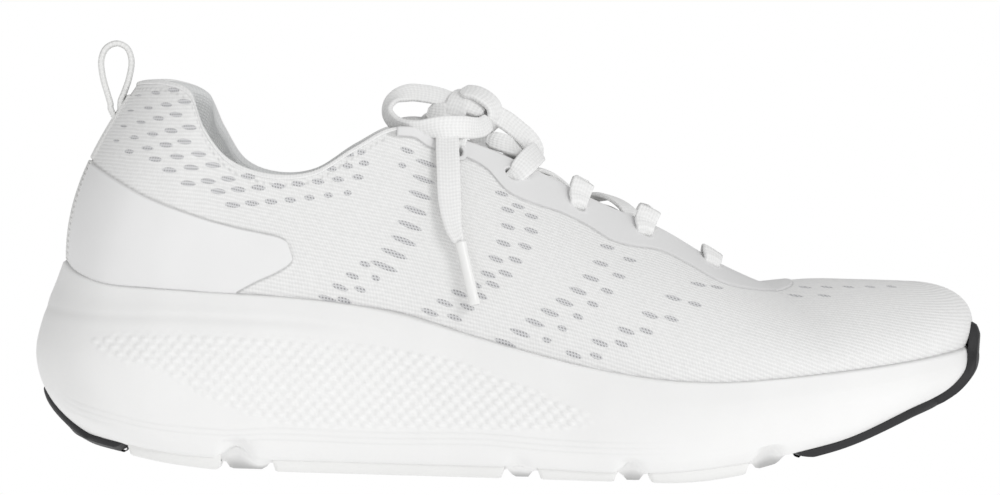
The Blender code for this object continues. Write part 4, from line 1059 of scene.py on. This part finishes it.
def make_collar():
    """Padded collar: rolls over the top edge and runs down inside to the footbed."""
    us = np.linspace(-COLLAR_END, COLLAR_END, 520)
    depth = CLOTH_ALLOWANCE + height(FOAM_DEPTH, abs(us))
    normal = face_direction(us, np.ones_like(us))
    rise = unit(upper(us, 1.0) - upper(us, 0.985))
    top = upper(us, 1.0)
    radius = depth / 2
    rows = []
    for angle in np.linspace(0.0, math.pi, 22):
        shift = (radius * (1 - math.cos(angle)) + 0.15)[:, None]
        lift = (np.minimum(radius * 0.75, 1.5) * math.sin(angle))[:, None]
        rows.append(top - normal * shift + rise * (lift - 0.3))
    for v in np.linspace(0.965, -0.16, 72):
        run = smooth(v, 0.20, 0.50)
        inset = LINING_INSET + (depth + 0.75 - LINING_INSET) * run
        rows.append(skin(us, np.full_like(us, v), inset))
    grid = np.stack(rows, 1)
    along = np.broadcast_to(lengths(grid[:, 21:22], 0), grid.shape[:2])
    uv = np.stack((along, lengths(grid, 1)), -1)
    taper = np.sqrt(np.clip((COLLAR_END - abs(us)) / 0.03, 0, 1))[:, None] * BEAD
    bead = np.stack([top - normal * 0.55
                     + taper * (normal * math.cos(angle) + rise * math.sin(angle))
                     for angle in np.linspace(-0.9, 2.6, 14)], 1)
    bead_uv = np.stack((uv[:, :14, 0], lengths(bead, 1)), -1)
    rolled = grid_piece("collar_edge", bead, KNIT_PAINT, uv=bead_uv,
                        slot=np.full(bead.shape[:2], -1.0), tone=np.ones(bead.shape[:2]))
    made = grid_piece("collar_cloth", grid, LINING, uv=uv)
    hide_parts("collar_lining")


INSOLE_MARGIN = 5.6        # from the feather line in to the insole's edge
INSOLE_RISE = 7.4          # from the footbed up to the insole's face


def make_insole():
    """Cover of the loose insole, cupped at the heel."""
    ts = np.linspace(0.0, 1.0, 240)
    left = feather(-ts) - outward(-ts) * INSOLE_MARGIN
    right = feather(ts) - outward(ts) * INSOLE_MARGIN
    f = np.linspace(-1, 1, 70)
    g = ((f + 1) / 2)[None, :, None]
    grid = left[:, None] * (1 - g) + right[:, None] * g
    x = grid[..., 0]
    cup = 4.0 * smooth(abs(f), 0.72, 1.0)[None, :] * smooth(-x, -150, -90)
    grid[..., 2] = height(FOOTBED, x) + INSOLE_RISE + cup
    made = grid_piece("insole_top", grid, INSOLE, body="insole", uv=run_map(grid), flip=True)
    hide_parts("sockliner_cover")


# ------------------------------------------------------------------ tongue
TONGUE_HALF = 2.65         # half its thickness
TONGUE_SQUARE = 0.55       # how square its edges are: 1 is round


def make_tongue():
    """Padded tongue: crowned face, thick edges, lining underneath."""
    xs = np.linspace(TONGUE[0][0], TONGUE[-1][0], 150)
    z, half = np.moveaxis(curve(TONGUE, xs), -1, 0)
    middle = height(TONGUE_MIDDLE, xs)
    slope = np.gradient(z, xs)
    normal = unit(np.stack((-slope, np.zeros_like(xs), np.ones_like(xs)), -1))
    # a rounded slab: face at depth 0, lining at full depth, long edges and top rolled over
    turn = turns(96)
    across = squared(np.cos(turn), TONGUE_SQUARE)
    depth = TONGUE_HALF - TONGUE_HALF * squared(np.sin(turn), TONGUE_SQUARE)
    pinch = rounded((xs - xs[0]) / 4.0)[:, None]
    thick = TONGUE_HALF + (depth[None, :] - TONGUE_HALF) * (0.08 + 0.92 * pinch)
    y = across[None, :] * half[:, None] * (0.90 + 0.10 * pinch)
    drop = TONGUE_DROP * (y / 20.0) ** 2
    x = np.broadcast_to(xs[:, None], y.shape)
    grid = np.stack((x, middle[:, None] + y, z[:, None] - drop), -1)
    seam = 0.5 * np.exp(-((abs(y) - half[:, None] * 0.72) / 0.7) ** 2)
    seam = seam * (depth < TONGUE_HALF)[None, :]
    grid = grid - normal[:, None] * (thick + seam)[..., None]
    made = grid_piece("tongue_pad", grid, TONGUE_CLOTH, body="tongue", uv=run_map(grid),
                      closed_columns=True)
    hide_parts("tongue_face", "tongue_foam", "tongue_lining")


# ------------------------------------------------------------------ flat lace
LACE_WIDTH = 7.0
LACE_THICKNESS = 1.5
LACE_SPACING = 0.8         # between the rings of points along it


def sweep(name, path, thickness=LACE_THICKNESS):
    """Flat woven lace.  Each point of the path: x, y, z, its facing x, y, z, its width.

    Returns the object and its centreline in millimetres."""
    table = np.array(path, float)
    run = lengths(table[:, :3], 0)
    count = max(8, int(run[-1] / LACE_SPACING))
    at = np.linspace(0, run[-1], count + 1)
    along = hermite(run, table, at)
    centre, face, width = along[:, :3], along[:, 3:6], along[:, 6]
    tangent = unit(np.gradient(centre, axis=0))
    side = unit(np.cross(tangent, face))
    face = unit(np.cross(side, tangent))
    turn = turns(24)
    wide = squared(np.cos(turn), 0.45)
    thick = squared(np.sin(turn), 0.75)
    half_t = thickness / 2 * (1 + 0.9 * np.clip((LACE_WIDTH - width) / LACE_WIDTH, 0, 1))
    number = np.arange(count + 1)
    ends = np.clip(np.minimum(number, count - number) / 1.5, 0.25, 1) ** 0.5
    swell = 1 + 0.18 * abs(wide) ** 6
    ring = (centre[:, None]
            + side[:, None] * (wide[None, :] * (width * ends / 2)[:, None])[..., None]
            + face[:, None] * (thick * swell * (half_t * ends)[:, None])[..., None])
    uv = np.stack((np.broadcast_to(at[:, None], ring.shape[:2]),
                   np.broadcast_to(wide[None, :] * 3.5, ring.shape[:2])), -1)
    faces = list(map(tuple, quads(count + 1, len(turn), closed_columns=True)))
    faces += [tuple(range(len(turn))), tuple(count * len(turn) + np.arange(len(turn))[::-1])]
    made = mesh_piece(name, ring.reshape(-1, 3), faces, LACE, uv=uv.reshape(-1, 2))
    return made, centre


def on_face(u, v, lift, width):
    """Point of a lace path that lies lift millimetres over the knit."""
    return [*skin(u, v, -lift), *face_direction(u, v), width]


# How far each row bulges towards the toe and up where it turns over the lacing edge
BULGE = [(0.0, 0.0), (0.0, 0.0), (0.8, 1.6), (1.4, 1.8), (0.2, 0.2)]


def crossing(side, row):
    """Far share of a crossing, and its start: out of a hole and over the near edge."""
    share, rise = EYELETS[row]
    u = side * share
    far = -side * EYELETS[row - 1][0]
    edge_gap = 1.0 - rise
    points = [on_face(u, rise + edge_gap * share_of_gap, lift, width)
              for share_of_gap, lift, width in ((-0.5, -4.4, 4.0), (-0.1, -1.4, 4.4),
                                                (0.12, 1.3, 5.6), (0.55, 2.1, 6.6))]
    points.append(on_face(u, 1.0, 2.3, 7.0))
    points[-1][0] += BULGE[row][0]
    points[-1][2] += BULGE[row][1]
    return far, points


def tongue_height(x, y):
    """Height of the tongue's face."""
    middle = height(TONGUE_MIDDLE, x)
    return height([row[:2] for row in TONGUE], x) - TONGUE_DROP * ((y - middle) / 20.0) ** 2


def strand_points(side, row, lift):
    """Whole path of one crossing, with its rise over the tongue."""
    far, points = crossing(side, row)
    edge = np.array(points[-1][:3])
    landing = skin(far, 1.0, 3.6)
    beyond = skin(far, 0.94, 4.6)
    span = landing - edge
    start = np.array(points[-1][3:6])
    for f in (0.12, 0.3, 0.55, 0.78):
        point = edge + span * f
        point[2] = tongue_height(point[0], point[1]) + 1.1 + lift * math.sin(math.pi * f**0.6)
        face = unit(start * (1 - smooth(f, 0.0, 0.4))
                    + np.array((0.25, 0.0, 1.0)) * smooth(f, -0.2, 0.4))
        points.append([*point, *face, LACE_WIDTH])
    normal = face_direction(far, 1.0)
    points.append([*landing, *unit(normal + UP * 0.5), 6.8])
    points.append([*beyond, *normal, 6.0])
    return points


# Rise over the tongue at the middle of each crossing, by row and side it starts from
STRAND_LIFT = {(4, -1): 0.1, (4, 1): 1.4, (3, -1): 4.4, (3, 1): 0.2, (2, -1): 0.1, (2, 1): 1.4}


def make_lacing():
    """The lace from the bar across the lowest holes up to the knot."""
    made = [sweep(f"lace_cross_{row}_{'lateral' if side < 0 else 'medial'}",
                  strand_points(side, row, lift))[0]
            for (row, side), lift in STRAND_LIFT.items()]
    for name, path in (("lace_cross_1_lateral", crossing(-1, 1)[1][:2] + STUB_PATH),
                       ("lace_cross_1_medial", crossing(1, 1)[1] + UNDER_PATH),
                       ("lace_cross_loose", LOOSE_PATH), ("lace_bar", BAR_PATH),
                       ("lace_top_lateral", TOP_LATERAL), ("lace_top_medial", TOP_MEDIAL)):
        sweep(name, path)
    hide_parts("lace_laced")


# Lace paths, each point: x, y, z, its facing x, y, z, its width
BAR_PATH = [(201.0, -10.5, 58.0, 0.5, -0.6, 0.5, 5.0), (200.6, -7.0, 63.0, 0.4, -0.3, 0.9, 6.4),
            (200.4, 3.5, 65.2, 0.4, 0.0, 0.9, 7.0), (200.0, 13.5, 63.4, 0.4, 0.3, 0.9, 6.4),
            (199.6, 17.5, 58.0, 0.4, 0.6, 0.5, 5.0)]
STUB_PATH = [(142.6, -20.8, 90.6, 0.1, -0.9, 0.4, 5.6), (144.4, -20.6, 92.8, 0.2, -0.85, 0.5, 6.8),
             (146.6, -17.6, 95.4, 0.4, -0.75, 0.5, 7.0), (148.6, -12.0, 97.4, 0.6, -0.6, 0.5, 6.8),
             (149.0, -6.6, 97.4, 0.8, -0.2, 0.5, 6.0), (148.2, -3.2, 96.0, 0.9, 0.1, 0.2, 5.0)]
UNDER_PATH = [(147.0, 5.0, 96.6, 0.3, -0.2, 0.9, 6.6), (143.8, -6.4, 98.2, 0.1, -0.8, 0.6, 6.4),
              (139.0, -10.6, 99.8, 0.0, -0.85, 0.5, 6.4), (133.4, -10.4, 101.2, 0.0, -0.8, 0.5, 5.6)]
LOOSE_PATH = [(146.2, -4.6, 94.8, 0.4, -0.8, 0.4, 5.6), (147.8, -6.0, 98.0, 0.4, -0.8, 0.3, 6.4),
              (146.0, -6.8, 101.2, 0.3, -0.85, 0.4, 6.6), (142.6, -7.2, 104.2, 0.2, -0.85, 0.5, 6.6),
              (138.6, -7.4, 107.0, 0.1, -0.85, 0.5, 6.6), (134.4, -7.4, 109.0, 0.0, -0.85, 0.5, 6.2),
              (130.0, -6.0, 110.0, 0.0, -0.8, 0.6, 5.6)]
TOP_LATERAL = [(124.6, -17.6, 96.5, 0.2, -0.7, 0.6, 4.4), (124.8, -20.8, 99.6, 0.1, -0.9, 0.4, 5.0),
               (125.6, -18.6, 102.4, 0.1, -0.5, 0.9, 5.6), (127.0, -12.0, 103.8, 0.0, -0.1, 1.0, 6.0),
               (127.6, -4.0, 105.0, 0.0, 0.0, 1.0, 5.4)]
TOP_MEDIAL = [(124.8, 19.6, 97.4, 0.2, 0.7, 0.6, 4.4), (124.8, 23.6, 101.6, 0.1, 0.9, 0.4, 5.4),
              (125.2, 21.4, 105.8, 0.0, 0.5, 0.9, 6.6), (126.0, 12.0, 107.6, 0.0, 0.1, 1.0, 6.6),
              (126.4, 4.0, 108.2, 0.0, 0.0, 1.0, 5.4)]

LOOP_LATERAL_PATH = [
    (134.2, -10.5, 106.4, 0.6, -0.75, 0.2, 5.4), (131.4, -15.5, 104.4, 0.3, -0.95, 0.05, 6.2),
    (126.4, -21.5, 104.3, 0.1, -1.0, 0.05, 6.8), (120.4, -24.0, 104.2, -0.05, -0.98, -0.1, 6.6),
    (113.4, -21.6, 103.5, -0.2, -0.75, -0.6, 6.2), (107.0, -18.0, 104.4, -0.5, -0.7, -0.5, 5.6),
    (103.6, -14.6, 108.0, -0.9, -0.45, 0.0, 5.2), (104.9, -11.8, 112.0, -0.6, -0.6, 0.5, 5.8),
    (109.6, -9.6, 114.2, 0.0, -0.8, 0.6, 6.2), (114.6, -8.2, 114.1, 0.1, -0.8, 0.6, 6.4),
    (119.4, -7.0, 113.3, 0.2, -0.8, 0.55, 6.2), (124.0, -6.0, 111.9, 0.2, -0.75, 0.6, 5.6)]
LOOP_MEDIAL_PATH = [
    (120.8, 7.2, 107.6, 0.0, -0.2, 1.0, 5.4), (118.4, 15.0, 108.2, 0.0, 0.0, 1.0, 6.6),
    (115.6, 25.0, 105.0, 0.0, 0.4, 0.9, 7.0), (112.8, 33.6, 97.4, 0.0, 0.9, 0.4, 6.8),
    (114.0, 38.2, 89.6, -0.4, 0.9, -0.2, 5.6), (118.6, 38.6, 88.8, 0.2, 0.4, -0.9, 5.4),
    (121.8, 35.0, 96.0, 0.1, -0.9, -0.5, 6.6), (122.4, 26.6, 106.8, 0.0, -0.6, -0.8, 7.0),
    (121.6, 17.0, 111.6, 0.0, -0.2, -1.0, 6.6), (123.4, 8.0, 112.6, 0.0, 0.1, -1.0, 5.2)]
END_LATERAL_PATH = [
    (123.0, -9.0, 105.0, 0.0, -0.3, 0.9, 5.2), (122.2, -15.0, 105.2, 0.0, -0.35, 0.9, 6.2),
    (121.8, -20.4, 103.4, 0.0, -0.6, 0.8, 7.0), (121.8, -25.0, 99.2, 0.0, -0.95, 0.4, 7.0),
    (122.3, -30.4, 91.2, 0.0, -1.0, 0.25, 7.0), (123.0, -34.2, 82.0, 0.0, -1.0, 0.2, 6.8),
    (124.4, -36.8, 74.0, 0.0, -1.0, 0.2, 5.0), (126.6, -38.0, 69.4, 0.0, -1.0, 0.1, 3.2)]
END_MEDIAL_PATH = [
    (129.8, 8.3, 110.4, 0.0, 0.2, 1.0, 5.2), (130.2, 14.0, 110.8, 0.0, 0.4, 0.9, 6.4),
    (131.0, 21.6, 108.2, 0.0, 0.7, 0.7, 7.0), (131.8, 28.6, 101.0, 0.0, 0.9, 0.4, 7.0),
    (132.2, 32.8, 91.6, 0.0, 1.0, 0.2, 7.0), (133.0, 34.8, 82.0, 0.0, 1.0, 0.1, 6.8),
    (134.2, 35.4, 74.0, 0.0, 1.0, 0.0, 5.0), (135.6, 35.6, 68.4, 0.0, 1.0, 0.0, 3.2)]
KNOT_BANDS = [
    # over the top of the knot, front to back
    [(123.4, -9.6, 105.4, -0.2, -0.9, -0.2, 6.0), (123.8, -11.0, 109.0, -0.2, -0.95, 0.2, 7.0),
     (125.6, -8.2, 113.0, 0.0, -0.6, 0.8, 7.6), (128.0, -2.4, 114.8, 0.1, 0.0, 1.0, 7.6),
     (129.6, 3.6, 113.0, 0.2, 0.6, 0.8, 7.2), (129.8, 8.0, 109.0, 0.2, 0.9, 0.2, 6.6)],
    # round the toe side of the knot
    [(125.4, -7.6, 115.2, 0.1, -0.5, 0.9, 6.2), (130.4, -8.6, 114.6, 0.4, -0.6, 0.8, 7.0),
     (135.2, -9.2, 111.0, 0.8, -0.6, 0.3, 7.0), (135.4, -9.0, 106.6, 0.8, -0.6, -0.2, 6.4),
     (131.2, -8.4, 104.2, 0.3, -0.8, -0.5, 5.8)],
    # through the middle of the knot
    [(115.6, -8.0, 108.6, 0.0, -0.9, 0.3, 5.8), (121.0, -10.4, 108.2, 0.0, -0.95, 0.2, 6.8),
     (127.6, -9.4, 107.6, 0.1, -0.95, 0.3, 6.8), (132.6, -8.0, 107.2, 0.3, -0.9, 0.2, 6.0)],
    # folded behind the top of the knot
    [(121.4, -7.4, 112.2, 0.1, -0.8, 0.6, 5.6), (127.0, -9.8, 111.6, 0.1, -0.85, 0.5, 6.6),
     (132.6, -9.6, 109.6, 0.3, -0.85, 0.4, 6.2)]]


def make_bow():
    """Two loops and two ends with their aglets, and the knot's bands."""
    for word, path in (("lateral", LOOP_LATERAL_PATH), ("medial", LOOP_MEDIAL_PATH)):
        made, centre = sweep("bow_loop_" + word, path)
        declare_cord("lace_loop_" + word)
    for word, path, tip in (("lateral", END_LATERAL_PATH, AGLET_LATERAL),
                            ("medial", END_MEDIAL_PATH, AGLET_MEDIAL)):
        made, centre = sweep("lace_end_piece_" + word, path)
        sleeve = make_aglet("aglet_" + word, tip)
        declare_cord("lace_end_" + word)
    for number, path in enumerate(KNOT_BANDS):
        made, _ = sweep(f"knot_band_{number}", path, thickness=1.9)
        if number == 0:
            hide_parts("lace_knot")


def declare_cord(node):
    """Hides the frame's piece of lace, which the swept lace replaces."""
    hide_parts(node)


def make_aglet(node, ends):
    """Plastic sleeve crimped round the end of the lace, with a rolled open mouth."""
    a, b = np.array(ends[0]), np.array(ends[1])
    axis = unit(b - a)
    side = unit(np.cross(axis, (0.0, 1.0, 0.0)))
    depth = np.cross(side, axis)
    turn = turns(28)
    length = np.linalg.norm(b - a)
    # distance along the sleeve, radius
    profile = [(-1.2, 1.25), (-1.2, 1.62), (-0.6, 1.72), (1.0, 1.66), (3.0, 1.50), (4.0, 1.62),
               (length - 4.0, 1.62), (length - 3.2, 1.50), (length - 2.2, 1.64), (length - 0.5, 1.66),
               (length, 1.50), (length + 0.1, 1.20), (length - 0.5, 0.95), (length - 2.5, 0.90)]
    grid = np.array([a + axis * at + side * (np.cos(turn) * radius)[:, None]
                     + depth * (np.sin(turn) * radius * 0.86)[:, None]
                     for at, radius in profile])
    faces = list(map(tuple, quads(len(profile), len(turn), closed_columns=True)))
    faces.append(tuple((len(profile) - 1) * len(turn) + np.arange(len(turn))))
    made = mesh_piece(node + "_sleeve", grid.reshape(-1, 3), faces, AGLET)
    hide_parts(node)
    return made


# ------------------------------------------------------------------ heel webbing
WEBBING_WIDTH = 9.0
WEBBING_THICKNESS = 1.8


def webbing(name, centre, face):
    """Woven tape through centre points (x, z), lying across the shoe."""
    rows = [(i,) + tuple(point) + tuple(f) for i, (point, f) in enumerate(zip(centre, face))]
    at = np.linspace(0, len(rows) - 1, 24 * len(rows))
    path = curve(rows, at)
    point = np.stack((path[:, 0], np.zeros(len(at)), path[:, 1]), -1)
    normal = unit(np.stack((path[:, 2], np.zeros(len(at)), path[:, 3]), -1))
    turn = turns(24)
    wide = squared(np.cos(turn), 0.35) * WEBBING_WIDTH / 2
    thick = squared(np.sin(turn), 0.6) * WEBBING_THICKNESS / 2
    ring = (point[:, None] + np.array((0.0, 1.0, 0.0)) * wide[None, :, None]
            + normal[:, None] * thick[None, :, None])
    uv = np.stack((np.broadcast_to(lengths(point, 0)[:, None], ring.shape[:2]),
                   np.broadcast_to(wide[None, :], ring.shape[:2])), -1)
    faces = list(map(tuple, quads(len(at), len(turn), closed_columns=True)))
    return mesh_piece(name, ring.reshape(-1, 3), faces, WEBBING, None, uv.reshape(-1, 2))


# Middle line of the pull tab's loop: x, z
LOOP_CENTRE = [(22.3, 103.6), (20.5, 106.9), (20.3, 108.6), (19.2, 112.0), (17.8, 116.6),
               (17.2, 121.4), (18.5, 125.1), (21.7, 126.7), (24.9, 125.3), (26.3, 121.4),
               (25.7, 116.4), (24.4, 112.2), (23.4, 109.4), (23.4, 105.6)]
STRIP_HALF = 0.0185        # half the width of the tape up the heel, in share


def make_pull_tab():
    """Loop of webbing over its stitched leg, whose foot is sewn up the heel on the shoe."""
    faces = [(-dz, dx) for dx, dz in np.gradient(np.array(LOOP_CENTRE), axis=0)]
    made = webbing("pull_tab_webbing", LOOP_CENTRE, faces)
    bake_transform(made)
    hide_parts("pull_tab_loop")
    leg = heel_strip("pull_tab_leg", np.linspace(0.545, 0.93, 90), 0.0)
    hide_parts("pull_tab_anchor")


def heel_strip(name, vs, wave):
    """Tape sewn flat up the back of the heel, its edges turned down to the upper."""
    wide = np.linspace(-1, 1, 41)
    half = STRIP_HALF + wave * np.sin(vs * 210.0)
    u = wide[None, :] * half[:, None]
    ends = np.minimum(np.arange(len(vs)), np.arange(len(vs))[::-1]) / 3.0
    edge = np.minimum((1 - abs(wide))[None, :] / 0.14, ends[:, None])
    inset = 0.1 - 0.95 * rounded(edge)
    grid = skin(u, np.broadcast_to(vs[:, None], u.shape), inset)
    uv = np.stack((lengths(grid, 0), lengths(grid, 1) - 4.0), -1)
    made = grid_piece(name, grid, WEBBING, uv=uv)
    return made


def make_heel_seam():
    """Tape over the heel seam, with a stitched wavy edge."""
    made = heel_strip("heel_tape", np.linspace(0.0, 0.54, 240), 0.0016)
    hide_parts("heel_seam_tape")


# ------------------------------------------------------------------ stage
WHITE_LIGHT = (1.0, 1.0, 1.0, 1.0)


def glowing_white(name):
    """Floor that shows as plain white, however it is lit."""
    made = bpy.data.materials.new(name)
    made.use_nodes = True
    nodes = made.node_tree.nodes
    nodes.clear()
    light = nodes.new("ShaderNodeEmission")
    light.inputs["Color"].default_value = WHITE_LIGHT
    light.inputs["Strength"].default_value = 1.0
    out = nodes.new("ShaderNodeOutputMaterial")
    made.node_tree.links.new(light.outputs[0], out.inputs[0])
    return made


def lamp(name, where, size, energy):
    """Round soft lamp, turned to the shoe."""
    data = bpy.data.lights.new(name, "AREA")
    data.shape = "DISK"
    data.size = size
    data.energy = energy
    made = bpy.data.objects.new(name, data)
    made.location = where
    aim = Vector((0.0, 0.0, 0.05)) - Vector(where)
    made.rotation_mode = "QUATERNION"
    made.rotation_quaternion = aim.to_track_quat("-Z", "Y")
    bpy.context.scene.collection.objects.link(made)


SKY_LIGHT = 0.58           # soft light from all round
FRONT_LIGHT = 0.38         # and what comes on top of it from the shoe's outer side
FLOOR_HALF = 9.0           # metres


def make_stage():
    """White floor, white background, soft light all round and two lamps."""
    floor = bpy.data.meshes.new("floor")
    corners = ((-1, -1), (1, -1), (1, 1), (-1, 1))
    floor.from_pydata([(x * FLOOR_HALF, y * FLOOR_HALF, 0) for x, y in corners],
                      [], [(0, 1, 2, 3)])
    floor.materials.append(glowing_white("floor_white"))
    made = bpy.data.objects.new("floor", floor)
    made.location.z = -0.0005
    bpy.context.scene.collection.objects.link(made)
    world = bpy.data.worlds.new("studio")
    world.use_nodes = True
    nodes, links = world.node_tree.nodes, world.node_tree.links
    seen = nodes["Background"]
    seen.inputs[0].default_value = WHITE_LIGHT
    lit, ray, either, direction, parts = [
        nodes.new("ShaderNode" + kind)
        for kind in ("Background", "LightPath", "MixShader", "TexCoord", "SeparateXYZ")]
    links.new(direction.outputs["Generated"], parts.inputs[0])
    value = parts.outputs["Y"]
    for operation, numbers in (("MULTIPLY", (-1.0,)), ("MAXIMUM", (0.0,)),
                               ("MULTIPLY_ADD", (FRONT_LIGHT, SKY_LIGHT))):
        step = nodes.new("ShaderNodeMath")
        step.operation = operation
        links.new(value, step.inputs[0])
        for socket, number in zip(step.inputs[1:], numbers):
            socket.default_value = number
        value = step.outputs[0]
    links.new(value, lit.inputs["Strength"])
    links.new(ray.outputs["Is Camera Ray"], either.inputs[0])
    links.new(lit.outputs[0], either.inputs[1])
    links.new(seen.outputs[0], either.inputs[2])
    links.new(either.outputs[0], nodes["World Output"].inputs["Surface"])
    bpy.context.scene.world = world
    lamp("key", (0.9, -1.3, 0.8), 0.6, 7.6)
    lamp("toe_fill", (1.6, -0.6, 0.9), 0.8, 1.7)
    bpy.context.scene.view_settings.view_transform = "Standard"


CAMERA_DISTANCE = 5.0      # metres, far enough for an almost parallel view
CAMERA_AIM = (-0.0029, 0.0687)    # x and height of the line of sight, metres
CAMERA_ROLL = math.atan2(8.5, 305.0)
PICTURE_WIDTH = 0.300      # metres across the picture, at the shoe
SENSOR_WIDTH = 36.0


def make_camera():
    """View of the outer side, turned slightly about its own axis."""
    data = bpy.data.cameras.new("camera")
    data.sensor_width = SENSOR_WIDTH
    data.lens = SENSOR_WIDTH * CAMERA_DISTANCE / PICTURE_WIDTH
    camera = bpy.data.objects.new("camera", data)
    camera.location = (CAMERA_AIM[0], -CAMERA_DISTANCE, CAMERA_AIM[1])
    camera.rotation_euler = (math.pi / 2, -CAMERA_ROLL, 0.0)
    bpy.context.scene.collection.objects.link(camera)
    bpy.context.scene.camera = camera


HEEL_RUBBER_TOP = ((0.0, 0.05, 0.08, 0.125), (2.45, 1.6, 1.1, 0.9))     # shares, levels


def main():
    make_stage()
    make_camera()
    make_bow()
    make_lacing()
    make_midsole()
    make_wrapped_rubber("heel_rubber", "outsole_heel", 0.0, 0.125, 1.5,
                        lambda share: np.interp(share, *HEEL_RUBBER_TOP))
    make_wrapped_rubber("toe_rubber", "outsole_toe", 0.767, 1.0, 2.7,
                        lambda share: 1.0 + 8.0 * smooth(share, 0.950, 0.988))
    make_pads()
    make_knit()
    make_heel_overlays()
    make_eyestay()
    make_eyelet_rims()
    make_collar()
    make_insole()
    make_tongue()
    make_pull_tab()
    make_heel_seam()


main()
